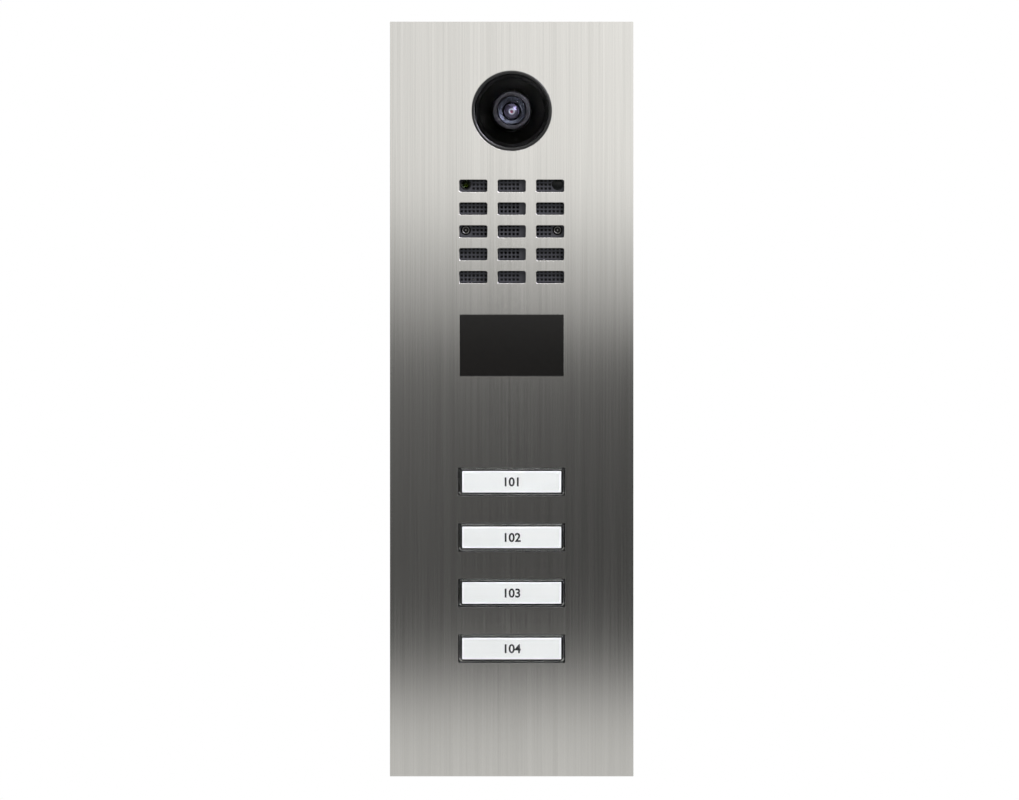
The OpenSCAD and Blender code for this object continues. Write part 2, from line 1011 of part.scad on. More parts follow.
module antenna_board() {
    board_w = reader_inner_w - 1;
    board_h = reader_inner_h - 1;
    y_board = y_module + 2;
    track_w = 0.8;
    track_step = 1.8;
    track_t = 0.2;
    color("#1f5a3a")
        union() {
            at(0, window_z)
                block(board_w, board_h, y_board, board_t);
            for (turn = [1 : 4])
                slab(y_board - track_t, track_t)
                    translate([0, window_z])
                        difference() {
                            rect(board_w - 2 * turn * track_step, board_h - 2 * turn * track_step);
                            rect(
                                board_w - 2 * turn * track_step - 2 * track_w,
                                board_h - 2 * turn * track_step - 2 * track_w
                            );
                        }
        }
}

// ---- Call buttons ----

module button_cap(n) {
    color("#d8dcdf", 0.6)
        at(0, key_z(n))
            difference() {
                union() {
                    slab(y_key, y_key_flange - y_key)
                        soft_rect(key_w, key_h, key_corner_r);
                    block(key_flange_w, key_flange_h, y_key_flange, key_flange_t);
                }
                block(label_w + 2 * fit, label_h + 2 * fit, y_label, y_key_base - y_label + 1);
            }
}

module name_label(n) {
    color("#e8eaec")
        at(0, key_z(n))
            block(label_w, label_h, y_label, label_t);
}

module key_carrier(n) {
    y_pad = y_label + label_t;
    color("#f2f2ee")
        at(0, key_z(n))
            union() {
                block(label_w, label_h, y_pad, y_key_base - y_pad);
                block(key_flange_w - 1, key_flange_h - 1, y_key_base, key_base_t);
                rod(y_stem, stem_len, stem_r);
            }
}

module key_dome(n) {
    base_r = 5.2;
    base_t = 0.8;
    pill_r = 1.5;
    color("#c9c9c4")
        at(0, key_z(n))
            translate([0, y_stem_end, 0])
                turned()
                    polygon([
                        [0, 0],
                        [2.4, 0],
                        [2.8, 0.9],
                        [4.4, dome_height - base_t],
                        [base_r, dome_height - base_t],
                        [base_r, dome_height],
                        [3.9, dome_height],
                        [3.9, dome_height - base_t],
                        [2.2, 1.5],
                        [pill_r, 1.5],
                        [pill_r, dome_height - key_travel],
                        [0, dome_height - key_travel]
                    ]);
}

module key_frame() {
    pocket_w = key_flange_w + 2 * run;
    pocket_h = key_flange_h + 2 * run;
    y_chamber = y_guide + guide_t;
    color("#1d1d1f")
        difference() {
            at(0, key_frame_z)
                block(key_frame_w, key_frame_h, y_module, y_button_board - y_module);
            at_keys() {
                block(pocket_w, pocket_h, y_module - 1, y_guide - y_module + 1);
                rod(y_module, y_button_board - y_module, stem_r + run);
                block(12.4, 12.4, y_chamber, y_button_board - y_chamber + 1);
                for (side = [-1, 1])
                    at(side * led_x, 0)
                        block(light_w, light_h, y_module, y_button_board - y_module + 1);
            }
            at_button_screws()
                rod(y_button_board - 5, 6, board_screw_r + thread_gap);
        }
}

module button_board() {
    color("#1f5a3a")
        difference() {
            at(0, key_frame_z)
                block(key_frame_w - 1, key_frame_h - 1, y_button_board, board_t);
            at_button_screws()
                rod(y_button_board - 1, board_t + 2, board_screw_r + bolt_gap);
        }
}

module backlight_leds() {
    color("#f4efc8")
        at_keys()
            for (side = [-1, 1])
                at(side * led_x, 0)
                    block(led_side, led_side, y_button_board - led_t, led_t);
}

// ---- Main board ----

module main_board() {
    color("#1f5a3a")
        difference() {
            at(0, main_board_z)
                block(main_board_w, main_board_h, y_main_board, board_t);
            at_locks()
                rod(y_main_board - 1, board_t + 2, pillar_r + run + 1.5 + loose);
            at_main_screws()
                rod(y_main_board - 1, board_t + 2, board_screw_r + bolt_gap);
        }
}

module board_screw() {
    rod(0, board_screw_len, board_screw_r);
    difference() {
        rod(-board_head_t, board_head_t, board_head_r);
        block(2.6, 0.6, -board_head_t - 1, 1.7);
        block(0.6, 2.6, -board_head_t - 1, 1.7);
    }
}

module board_screws() {
    color("#b0b0ac") {
        at_main_screws()
            translate([0, y_main_board, 0])
                board_screw();
        at_button_screws()
            translate([0, y_button_board + board_t, 0])
                rotate([0, 0, 180])
                    board_screw();
    }
}

// A component on the front of the main board, standing towards the plate
module board_part(x, z, w, h, t) {
    at(x, main_board_z + z)
        block(w, h, y_main_board - t, t);
}

module board_parts() {
    capacitor_r = 4;
    capacitor_h = 9;
    color("#3a3b3d") {
        board_part(-14, -30, 17, 17, 1.6);
        board_part(10, -28, 12, 9, 1.2);
        board_part(10, -40, 12, 9, 1.2);
        board_part(-16, -56, 16, 13, 5.5);
        board_part(18, -58, 19, 15, 9);
        for (step = [0, 1, 2])
            at(-26, main_board_z - 12 + step * 10)
                rod(y_main_board - capacitor_h, capacitor_h, capacitor_r);
    }
    color("#b4b6b8")
        board_part(8, -8, 26, 20, 3);
}

module network_socket() {
    wall = 2.2;
    mouth_h = 7;
    y_mouth = y_main_back + socket_depth - wall - mouth_h;
    color("#9a9da0")
        at(socket_x, socket_z)
            difference() {
                block(socket_w, socket_h, y_main_back, socket_depth);
                translate([-socket_w / 2 + wall, y_mouth, -socket_h / 2 - 1])
                    cube([socket_w - 2 * wall, mouth_h, socket_h - 4]);
            }
}

module terminal_block() {
    wire_side = 3;
    color("#3f8a4a")
        at(terminal_x, terminal_z)
            difference() {
                block(terminal_w, terminal_h, y_main_back, y_cover - y_main_back + terminal_depth);
                for (way = [0 : terminal_ways - 1])
                    let (x = (way - (terminal_ways - 1) / 2) * terminal_pitch) {
                        translate([x - wire_side / 2, y_cover + 3.5, -terminal_h / 2 - 1])
                            cube([wire_side, wire_side, 9]);
                        translate([x, y_cover, 1])
                            rod(7.5, 4, 1.4);
                    }
            }
}

module flat_cable(z_from, z_to, y_from, y_mid, y_to) {
    w = 14;
    t = 0.4;
    low = min(z_from, z_to);
    high = max(z_from, z_to);
    translate([-w / 2, 0, 0]) {
        translate([0, y_from, z_from - t / 2])
            cube([w, y_mid - y_from + t / 2, t]);
        translate([0, y_mid - t / 2, low - t / 2])
            cube([w, t, high - low + t]);
        translate([0, y_mid - t / 2, z_to - t / 2])
            cube([w, y_to - y_mid + t / 2, t]);
    }
}

module flat_cables() {
    color("#c9a25a") {
        flat_cable(
            camera_z - 14, main_board_top - 3,
            y_camera_board + board_t, y_camera_board + board_t + 6, y_main_board
        );
        flat_cable(
            key_frame_z + key_frame_h / 2 - 6, main_board_top - main_board_h + 4,
            y_button_board + board_t, y_button_board + board_t + 6, y_main_board
        );
    }
}

// ---- Nodes ----

front_plate();
plate_studs();
stud_nuts();
plate_gasket();
hanging_hooks();
wall_box();
cable_grommets();
lock_pillars();
lock_screws();
module_carrier();
rear_cover();
cover_screws();
module_seals();
camera_bezel();
camera_dome();
camera_baffle();
lens_barrel();
lens_retainer();
lens_front_element();
camera_board();
camera_housing();
camera_screws();
grille_plate();
audio_frame();
speaker_basket();
speaker_cone();
speaker_magnet();
microphone_boot();
microphone_capsule();
light_sensor_lens();
infrared_window();
reader_window();
reader_frame();
antenna_board();
key_frame();
button_board();
backlight_leds();
main_board();
board_screws();
board_parts();
network_socket();
terminal_block();
flat_cables();
button_cap(1);  // button_cap_1
name_label(1);  // name_label_1
key_carrier(1);  // key_carrier_1
key_dome(1);  // key_dome_1
button_cap(2);  // button_cap_2
name_label(2);  // name_label_2
key_carrier(2);  // key_carrier_2
key_dome(2);  // key_dome_2
button_cap(3);  // button_cap_3
name_label(3);  // name_label_3
key_carrier(3);  // key_carrier_3
key_dome(3);  // key_dome_3
button_cap(4);  // button_cap_4
name_label(4);  // name_label_4
key_carrier(4);  // key_carrier_4
key_dome(4);  // key_dome_4
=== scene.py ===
# %% [markdown]
# # A flush door intercom in brushed stainless steel
#
# The real station is a 3 mm steel plate over a box in the wall. Behind the plate a black
# module holds the camera, the speaker, a reader and four call buttons. Its fits and its
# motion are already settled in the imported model, so this lesson only gives it its looks:
# pieces with soft edges and real finishes, each one riding on the body that carries it.

# %% Load the assembled model
import json
import math

import bmesh
import bpy
from mathutils import Matrix, Vector


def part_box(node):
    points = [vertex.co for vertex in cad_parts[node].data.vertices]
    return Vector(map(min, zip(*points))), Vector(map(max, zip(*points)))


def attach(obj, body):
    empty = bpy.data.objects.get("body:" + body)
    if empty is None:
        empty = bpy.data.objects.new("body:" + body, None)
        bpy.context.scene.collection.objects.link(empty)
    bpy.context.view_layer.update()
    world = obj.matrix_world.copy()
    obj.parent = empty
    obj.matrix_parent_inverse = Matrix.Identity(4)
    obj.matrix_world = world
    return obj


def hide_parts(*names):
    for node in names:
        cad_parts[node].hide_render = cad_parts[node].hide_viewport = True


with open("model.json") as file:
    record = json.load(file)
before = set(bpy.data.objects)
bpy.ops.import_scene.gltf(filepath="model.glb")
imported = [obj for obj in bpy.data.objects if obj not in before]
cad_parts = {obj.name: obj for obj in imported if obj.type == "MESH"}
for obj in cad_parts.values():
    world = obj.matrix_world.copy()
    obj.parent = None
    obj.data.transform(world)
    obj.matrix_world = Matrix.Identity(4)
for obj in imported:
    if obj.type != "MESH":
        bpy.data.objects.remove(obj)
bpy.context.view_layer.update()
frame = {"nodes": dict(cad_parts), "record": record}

MM = 0.001

# %% [markdown]
# ## Measuring
#
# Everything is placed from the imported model. One function reads a part's middle and its
# size in millimetres, so no piece has to be fitted by eye.


# %% Read sizes from the model
def measure(node):
    """The middle and the size of a part of the model, in millimetres."""
    low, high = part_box(node)
    return (low + high) / 2 / MM, (high - low) / MM


plate_mid, plate_size = measure("front_plate")
plate_front = plate_mid.y - plate_size.y / 2
plate_back = plate_mid.y + plate_size.y / 2
print("plate:", [round(side, 2) for side in plate_size], "front face at", round(plate_front, 2))

# %% [markdown]
# ## Outlines and profiles
#
# Almost every piece here is an outline carried along a profile. A turned ring is a circle
# whose radius changes along the axis. A moulded block is a rounded rectangle that grows and
# shrinks. So there are two outlines, and one function that softens the corners of a profile
# the way a tool or a mould does. A bevel modifier could do that too, but it depends on how
# the faces lie, and a profile doesn't.


# %% Outlines
def circle(radius, x=0.0, z=0.0, points=96):
    """A circle as a loop of x, z points."""
    turns = [2 * math.pi * i / points for i in range(points)]
    return [(x + radius * math.cos(a), z + radius * math.sin(a)) for a in turns]


def soft_rect(width, height, corner, x=0.0, z=0.0, steps=5):
    """A rectangle with round corners as a loop of x, z points."""
    corner = max(corner, 0.02)
    loop = []
    for quarter, (side, up) in enumerate(((1, 1), (-1, 1), (-1, -1), (1, -1))):
        for step in range(steps + 1):
            a = math.pi / 2 * (quarter + step / steps)
            loop.append((
                x + side * (width / 2 - corner) + corner * math.cos(a),
                z + up * (height / 2 - corner) + corner * math.sin(a),
            ))
    return loop


# %% Profiles with softened corners
def soften(profile, steps=4):
    """A profile whose points are (offset, y) or (offset, y, radius); each radius becomes an arc."""
    made = []
    count = len(profile)
    for i, point in enumerate(profile):
        here = Vector(point[:2])
        radius = point[2] if len(point) > 2 else 0
        if not radius:
            made.append(tuple(here))
            continue
        before = Vector(profile[i - 1][:2]) - here
        after = Vector(profile[(i + 1) % count][:2]) - here
        start = here + before.normalized() * min(radius, before.length / 2.01)
        end = here + after.normalized() * min(radius, after.length / 2.01)
        for step in range(steps + 1):
            t = step / steps
            made.append(tuple(start * (1 - t) ** 2 + here * 2 * t * (1 - t) + end * t ** 2))
    return made


def bridge(bm, first, second):
    """Faces between two loops with the same number of points."""
    count = len(first)
    for i in range(count):
        j = (i + 1) % count
        corners = [first[i], first[j], second[j], second[i]]
        face = bm.faces.new(corners)
        face.smooth = True


def carry(bm, outline, profile, centre=(0, 0), ring=False):
    """Carries outline(offset) along a profile of (offset, y). A ring closes on itself."""
    loops = []
    for offset, y in profile:
        loop = outline(offset)
        tip = all(math.dist(p, loop[0]) < 1e-6 for p in loop)
        points = loop[:1] if tip else loop
        loops.append([bm.verts.new((x + centre[0], y, z + centre[1])) for x, z in points])
    pairs = list(zip(loops, loops[1:])) + ([(loops[-1], loops[0])] if ring else [])
    for first, second in pairs:
        if len(first) == len(second):
            bridge(bm, first, second)
            continue
        tip, loop = (first[0], second) if len(first) == 1 else (second[0], first)
        for i, v in enumerate(loop):
            bm.faces.new((tip, v, loop[(i + 1) % len(loop)])).smooth = True
    if not ring:
        for loop in (loops[0], loops[-1]):
            if len(loop) > 1:
                bm.faces.new(loop)
    return bm


# %% [markdown]
# ## Sheets with cutouts
#
# The front plate is laser cut and then deburred, so every edge carries a tiny round that
# catches light. The outer edge and every cutout are carried along the same edge profile,
# and the flat faces between them are filled afterwards. Boolean cuts would be shorter, but
# they leave no round on the edge.


# %% A sheet with cutouts and softened edges
def cut_sheet(outer, holes, y_front, y_back, edge, back_edge=0.0):
    """outer and holes are functions that give a loop for an offset; edge is the edge's round."""
    profile = soften([
        (edge, y_front), (0, y_front, edge), (0, y_back, back_edge), (back_edge, y_back),
    ], 3)
    kept = []
    for point in profile:
        if not kept or math.dist(point, kept[-1]) > 1e-5:
            kept.append(point)
    bm = bmesh.new()
    rims = ([], [])
    for outline, sign in [(outer, -1)] + [(hole, 1) for hole in holes]:
        loops = [
            [bm.verts.new((x, y, z)) for x, z in outline(sign * inset)] for inset, y in kept
        ]
        for first, second in zip(loops, loops[1:]):
            bridge(bm, first, second)
        for rim, loop in zip(rims, (loops[0], loops[-1])):
            rim += [bm.edges.get((v, loop[(i + 1) % len(loop)])) for i, v in enumerate(loop)]
    for rim in rims:
        bmesh.ops.triangle_fill(bm, use_beauty=True, edges=rim)
    return bm


# %% Put a finished piece in the scene
def place(name, bm, body, finish, replaces=(), sharp=35):
    """Makes the piece, in metres, riding on a body and standing for parts of the model."""
    bmesh.ops.remove_doubles(bm, verts=bm.verts, dist=1e-4)
    bmesh.ops.recalc_face_normals(bm, faces=bm.faces)
    bm.transform(Matrix.Scale(MM, 4))
    mesh = bpy.data.meshes.new(name)
    layer = bm.loops.layers.uv.new("flat")
    for face in bm.faces:
        for corner in face.loops:
            corner[layer].uv = (corner.vert.co.x, corner.vert.co.z)
    open_edges = sum(1 for e in bm.edges if len(e.link_faces) != 2)
    bm.to_mesh(mesh)
    bm.free()
    mesh.set_sharp_from_angle(angle=math.radians(sharp))
    mesh.materials.append(finish)
    piece = bpy.data.objects.new(name, mesh)
    bpy.context.scene.collection.objects.link(piece)
    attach(piece, body)
    if replaces:
        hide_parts(*replaces)
    print(f"{name}: {len(mesh.polygons)} faces, {open_edges} open edges")
    return piece


# %% A turned piece
def turned(name, spot, points, profile, finish, replaces=(), ring=False):
    """A piece of the station whose profile is carried round an axis at a spot (x, z)."""
    bm = carry(bmesh.new(), lambda r: circle(r, points=points), profile, spot, ring)
    return place(name, bm, "station", finish, replaces)


# %% [markdown]
# ## Finishes
#
# A finish starts from what the material is. Colours are written as the hex values a paint
# chart gives and turned to linear light by one function. One more function adds a shader
# node with its settings and its links, so a finish reads as a short recipe.


# %% Colours and nodes
def tone(code):
    """An sRGB hex colour as linear light."""
    levels = [int(code[i:i + 2], 16) / 255 for i in (1, 3, 5)]
    linear = [v / 12.92 if v <= 0.04045 else ((v + 0.055) / 1.055) ** 2.4 for v in levels]
    return (*linear, 1.0)


def add(tree, kind, settings=None, links=None):
    """One node. A setting fills a socket or an option, a link feeds a socket from (node, output)."""
    node = tree.nodes.new("ShaderNode" + kind)
    for key, value in (settings or {}).items():
        if isinstance(key, int) or key in node.inputs:
            node.inputs[key].default_value = value
        else:
            setattr(node, key, value)
    for key, (source, output) in (links or {}).items():
        tree.links.new(source.outputs[output], node.inputs[key])
    return node


def start_finish(name, **settings):
    """A new material with its surface shader: (material, node tree, shader)."""
    material = bpy.data.materials.new(name)
    material.use_nodes = True
    tree = material.node_tree
    shader = tree.nodes["Principled BSDF"]
    for key, value in settings.items():
        shader.inputs[key.replace("_", " ")].default_value = value
    return material, tree, shader


def grain(tree, size_mm, stretch=(1, 1, 1), detail=3):
    """Noise whose grains are size_mm across, drawn out by stretch along x, y and z."""
    place_in = add(tree, "TexCoord")
    scale = [1 / (size_mm * MM * s) for s in stretch]
    fitted = add(tree, "Mapping", {"Scale": scale}, {"Vector": (place_in, "Object")})
    return add(tree, "TexNoise", {"Scale": 1.0, "Detail": detail}, {"Vector": (fitted, "Vector")})


def shades(tree, source, output, low, high, dark, light):
    """A colour between two hex tones as the source goes from low to high."""
    ramp = add(tree, "ValToRGB", links={"Fac": (source, output)})
    ramp.color_ramp.elements[0].position = low
    ramp.color_ramp.elements[1].position = high
    ramp.color_ramp.elements[0].color = tone(dark)
    ramp.color_ramp.elements[1].color = tone(light)
    return ramp


def relief(tree, shader, source, output, depth_mm):
    """Raises the surface by the source, to depth_mm."""
    bump = add(tree, "Bump", {"Distance": depth_mm * MM, "Strength": 1.0}, {"Height": (source, output)})
    tree.links.new(bump.outputs["Normal"], shader.inputs["Normal"])
    return bump


# %% [markdown]
# ### Brushed stainless steel
#
# The plate is 1.4301 stainless, brushed upwards with a 240 grit belt. The grooves scatter
# light sideways and hardly at all up and down. To the eye that is a soft vertical grain in
# which bright and dark parts of the room lie as level bands. The shader's anisotropy does
# this: its tangent runs across the plate, which is the direction that blurs.


# %% Brushed stainless
def brushed_stainless():
    steel, tree, shader = start_finish("brushed_stainless", Metallic=1.0, Anisotropic=1.0)
    # 240 grit leaves grooves near 0.05 mm; they are drawn at 0.35 mm so that they show
    fine = grain(tree, 0.35, (1, 1, 260), 2)
    # the belt also leaves faint stripes a few millimetres wide
    broad = grain(tree, 4.0, (1, 1, 70), 2)
    both = add(
        tree, "Mix", {"Factor": 0.45, "data_type": "FLOAT"},
        {2: (fine, "Fac"), 3: (broad, "Fac")},
    )
    colour = shades(tree, both, 0, 0.35, 0.65, "#d6d5d1", "#e3e2de")
    tree.links.new(colour.outputs["Color"], shader.inputs["Base Color"])
    rough = add(
        tree, "MapRange", {"To Min": 0.14, "To Max": 0.19}, {"Value": (fine, "Fac")}
    )
    tree.links.new(rough.outputs["Result"], shader.inputs["Roughness"])
    across = add(tree, "Tangent", {"direction_type": "UV_MAP", "uv_map": "flat"})
    tree.links.new(across.outputs["Tangent"], shader.inputs["Tangent"])
    relief(tree, shader, fine, "Fac", 0.004)
    return steel


STEEL = brushed_stainless()


# %% [markdown]
# ### Moulded plastics
#
# ABS and nylon parts come from a spark-eroded mould, which gives a fine matt grain. The
# camera's bezel comes from a polished one. Only the tone, the grain and the gloss differ.


# %% Moulded plastics
def moulded(name, dark, light, grain_mm, depth_mm, roughness, specular=0.5):
    plastic, tree, shader = start_finish(name, Roughness=roughness, IOR=1.53)
    shader.inputs["Specular IOR Level"].default_value = specular
    pores = grain(tree, grain_mm)
    colour = shades(tree, pores, "Fac", 0.35, 0.65, dark, light)
    tree.links.new(colour.outputs["Color"], shader.inputs["Base Color"])
    relief(tree, shader, pores, "Fac", depth_mm)
    return plastic


ABS = moulded("black_abs", "#101011", "#171718", 0.25, 0.01, 0.55, 0.25)
GRILLE_ABS = moulded("grille_abs", "#292b32", "#35373f", 0.25, 0.01, 0.6)
GLOSS_BLACK = moulded("polished_black_abs", "#060606", "#0a0a0b", 1.5, 0.0005, 0.16, 0.55)
BAFFLE_BLACK = moulded("flocked_camera_black", "#020202", "#050505", 0.2, 0.02, 0.9, 0.0)
WINDOW_BLACK = moulded("black_acrylic", "#131211", "#171615", 2.0, 0.0003, 0.07)
INFRARED = moulded("infrared_acrylic", "#0b0e0e", "#121616", 1.5, 0.0003, 0.2, 0.2)
NYLON = moulded("green_nylon", "#2f7a3c", "#3d8a49", 0.3, 0.01, 0.5)
EPOXY = moulded("chip_epoxy", "#202021", "#2c2c2e", 0.2, 0.008, 0.5)
LED_RESIN = moulded("led_resin", "#e4dcb0", "#f4edc6", 0.6, 0.002, 0.25)
CONE_PAPER = moulded("speaker_cone_paper", "#222222", "#333232", 0.5, 0.05, 0.9, 0.2)


# %% [markdown]
# ### Rubber and silicone
#
# EPDM for the gasket and the grommets, silicone for the domes under the buttons. Both are
# cast and stay dull, with cloudy tone.


# %% Rubber
def cast_rubber(name, dark, light, roughness):
    rubber, tree, shader = start_finish(name, Roughness=roughness, IOR=1.5)
    clouds = grain(tree, 1.2, detail=5)
    colour = shades(tree, clouds, "Fac", 0.3, 0.7, dark, light)
    tree.links.new(colour.outputs["Color"], shader.inputs["Base Color"])
    relief(tree, shader, clouds, "Fac", 0.03)
    return rubber


EPDM = cast_rubber("black_epdm", "#161616", "#212121", 0.75)
SILICONE = cast_rubber("grey_silicone", "#b4b4ae", "#c9c9c4", 0.6)


# %% [markdown]
# ### Small metal parts
#
# Screws, pillars and clips are turned or stamped. Turning leaves rings and stamping leaves
# short scratches; at this size both read as fine noise in the gloss.


# %% Small metal parts
def worked_metal(name, dark, light, roughness, scratch_mm=0.3):
    metal, tree, shader = start_finish(name, Metallic=1.0)
    marks = grain(tree, scratch_mm, (1, 6, 1), 2)
    colour = shades(tree, marks, "Fac", 0.3, 0.7, dark, light)
    tree.links.new(colour.outputs["Color"], shader.inputs["Base Color"])
    rough = add(
        tree, "MapRange", {"To Min": roughness * 0.8, "To Max": roughness * 1.25},
        {"Value": (marks, "Fac")},
    )
    tree.links.new(rough.outputs["Result"], shader.inputs["Roughness"])
    relief(tree, shader, marks, "Fac", 0.002)
    return metal


PLAIN_STEEL = worked_metal("plain_stainless", "#c3c2bd", "#d4d3ce", 0.35)
ZINC_SCREW = worked_metal("zinc_plated_screws", "#b9bab6", "#cfd0cc", 0.3)
ALUMINIUM = worked_metal("turned_aluminium", "#c9c9c7", "#dadad8", 0.3)
BLACK_STEEL = worked_metal("blackened_steel", "#2b2b2b", "#373736", 0.24)
MAGNET = worked_metal("coated_magnet", "#5a5b5f", "#6a6b6f", 0.45)
SOCKET_SHELL = worked_metal("tinned_shell", "#bfc1c3", "#d0d2d4", 0.3)
ANODISED_BLACK = worked_metal("black_anodised_aluminium", "#343437", "#3f3f42", 0.4)
ANODISED_GREY = worked_metal("grey_anodised_aluminium", "#30333b", "#3c3f48", 0.26)


# %% [markdown]
# ### Galvanised sheet
#
# The wall box is folded from zinc-coated sheet. Zinc freezes on steel in leafy crystals,
# the spangle, each with its own tone. Voronoi cells have that shape.


# %% Galvanised sheet
def galvanised_sheet():
    zinc, tree, shader = start_finish("galvanised_sheet", Metallic=1.0)
    place_in = add(tree, "TexCoord")
    # spangle on thin sheet is 3 to 8 mm across
    cells = add(tree, "TexVoronoi", {"Scale": 1 / (5 * MM)}, {"Vector": (place_in, "Object")})
    split = add(tree, "SeparateColor", links={"Color": (cells, "Color")})
    colour = shades(tree, split, "Red", 0.0, 1.0, "#a9aeb1", "#bcc1c4")
    tree.links.new(colour.outputs["Color"], shader.inputs["Base Color"])
    rough = add(tree, "MapRange", {"To Min": 0.32, "To Max": 0.48}, {"Value": (split, "Green")})
    tree.links.new(rough.outputs["Result"], shader.inputs["Roughness"])
    dull = grain(tree, 0.6)
    relief(tree, shader, dull, "Fac", 0.006)
    return zinc


GALVANISED = galvanised_sheet()


# %% [markdown]
# ### Clear parts
#
# The dome is polycarbonate with an anti-reflective coat, so it nearly disappears over the
# black inside. The button caps are acrylic and the lens is coated glass. They are solid
# pieces that bend light, and a trace of haze keeps them from looking like a drawing.


# %% Clear parts
def clear_part(name, tint, ior, haze, specular, coat_tint=None):
    clear, tree, shader = start_finish(name, IOR=ior)
    shader.inputs["Transmission Weight"].default_value = 1.0
    shader.inputs["Specular IOR Level"].default_value = specular
    shader.inputs["Base Color"].default_value = tone(tint)
    if coat_tint:
        shader.inputs["Specular Tint"].default_value = tone(coat_tint)
    smear = grain(tree, 6.0, detail=4)
    rough = add(tree, "MapRange", {"To Min": 0.0, "To Max": haze}, {"Value": (smear, "Fac")})
    tree.links.new(rough.outputs["Result"], shader.inputs["Roughness"])
    return clear


# the hard coat takes away most of what bare plastic would mirror, hence the low index
POLYCARBONATE = clear_part("clear_polycarbonate", "#fdfdff", 1.16, 0.02, 0.5, "#303032")
ACRYLIC = clear_part("clear_acrylic", "#fbfdfd", 1.49, 0.03, 0.5)
LENS_GLASS = clear_part("coated_lens_glass", "#f4f4ff", 1.6, 0.01, 0.5, "#b8b0dc")
SENSOR_RESIN = clear_part("clear_sensor_resin", "#9ba78e", 1.52, 0.02, 0.5, "#303030")


# %% [markdown]
# ### Light guide, paper and boards
#
# The light guide is milky acrylic. The name inserts are card printed with a pale grey field
# that leaves a white border. Circuit boards are glass fibre under a green solder mask, and
# the ribbon cables are amber polyimide over copper tracks.


# %% Milky acrylic
def milky_acrylic():
    milky, tree, shader = start_finish("milky_acrylic", Roughness=0.3, IOR=1.49)
    shader.inputs["Subsurface Weight"].default_value = 0.4
    shader.inputs["Subsurface Radius"].default_value = (0.002, 0.002, 0.002)
    clouds = grain(tree, 3.0)
    colour = shades(tree, clouds, "Fac", 0.3, 0.7, "#ecece6", "#f6f6f2")
    tree.links.new(colour.outputs["Color"], shader.inputs["Base Color"])
    return milky


MILKY = milky_acrylic()


# %% Printed card
# strength of the card's painted glow
CARD_PAINTED_GLOW = 0.3


def printed_card(width, height, border):
    """White card with a pale grey field that keeps clear of its edge by border, in mm."""
    card, tree, shader = start_finish("printed_card", Roughness=0.6)
    spot = add(tree, "UVMap", {"uv_map": "label"})
    split = add(tree, "SeparateXYZ", links={"Vector": (spot, "UV")})
    inside = []
    for axis, side in (("X", width), ("Y", height)):
        away = add(tree, "Math", {"operation": "ABSOLUTE"}, {0: (split, axis)})
        edge = side / 2 - border
        inside.append(add(
            tree, "MapRange",
            {"From Min": edge - 0.1, "From Max": edge + 0.1, "To Min": 1.0, "To Max": 0.0},
            {"Value": (away, "Value")},
        ))
    field = add(
        tree, "Math", {"operation": "MULTIPLY"},
        {0: (inside[0], "Result"), 1: (inside[1], "Result")},
    )
    fibres = grain(tree, 0.3, (3, 1, 1), 4)
    white = shades(tree, fibres, "Fac", 0.3, 0.7, "#fcfcfc", "#ffffff")
    grey = shades(tree, fibres, "Fac", 0.3, 0.7, "#e6e6e3", "#ebebe8")
    colour = add(
        tree, "Mix", {"data_type": "RGBA"},
        {0: (field, "Value"), 6: (white, "Color"), 7: (grey, "Color")},
    )
    tree.links.new(colour.outputs[2], shader.inputs["Base Color"])
    # painted light: the card glows in its own colour, standing in for the light that reaches it through
    # the clear cap
    tree.links.new(colour.outputs[2], shader.inputs["Emission Color"])
    shader.inputs["Emission Strength"].default_value = CARD_PAINTED_GLOW
    relief(tree, shader, fibres, "Fac", 0.004)
    return card


INK = moulded("black_ink", "#141416", "#1c1c1f", 0.3, 0.001, 0.5)


# %% Boards and ribbons
def circuit_board():
    board, tree, shader = start_finish("solder_mask", Roughness=0.3, IOR=1.5)
    place_in = add(tree, "TexCoord")
    flat = add(tree, "Mapping", {"Rotation": (math.pi / 2, 0, 0)}, {"Vector": (place_in, "Object")})
    # copper tracks under the mask, about 1.5 mm apart
    tracks = add(
        tree, "TexBrick",
        {"Scale": 1 / (6 * MM), "Mortar Size": 0.08, "Brick Width": 0.5, "Row Height": 0.25,
         "Color1": tone("#124427"), "Color2": tone("#154c2c"), "Mortar": tone("#1f6a40")},
        {"Vector": (flat, "Vector")},
    )
    tree.links.new(tracks.outputs["Color"], shader.inputs["Base Color"])
    relief(tree, shader, tracks, "Fac", 0.03)
    return board


def ribbon_cable():
    ribbon, tree, shader = start_finish("polyimide_ribbon", Roughness=0.25, IOR=1.7)
    place_in = add(tree, "TexCoord")
    # one copper track a millimetre
    tracks = add(
        tree, "TexWave", {"Scale": 1 / (3.14 * MM), "bands_direction": "X", "Distortion": 0.0},
        {"Vector": (place_in, "Object")},
    )
    colour = shades(tree, tracks, "Fac", 0.4, 0.6, "#9a5f1c", "#c98a35")
    tree.links.new(colour.outputs["Color"], shader.inputs["Base Color"])
    relief(tree, shader, tracks, "Fac", 0.02)
    return ribbon


BOARD = circuit_board()
RIBBON = ribbon_cable()
print("finishes:", len(bpy.data.materials))

# %% [markdown]
# ## The front plate
#
# Three millimetres of steel with 21 cutouts: the camera's round one, fifteen slots for
# sound, the reader's window and four for the buttons. Their places come from the parts
# that sit in them; only the slots are given by their size and pitch.

# %% Sizes of the cutouts
SLOT_W, SLOT_H, SLOT_CORNER = 14.4, 6.4, 0.9
SLOT_PITCH_X, SLOT_PITCH_Z = 19.8, 11.76
KEY_GAP = 0.6
KEY_COUNT = 4

bezel_mid, bezel_size = measure("camera_bezel")
grille_mid, grille_size = measure("grille_plate")
window_mid, window_size = measure("reader_window")
label_mid, label_size = measure("name_label_1")
cap_mid, cap_size = measure("button_cap_1")
key_z = [measure(f"name_label_{n + 1}")[0].z for n in range(KEY_COUNT)]

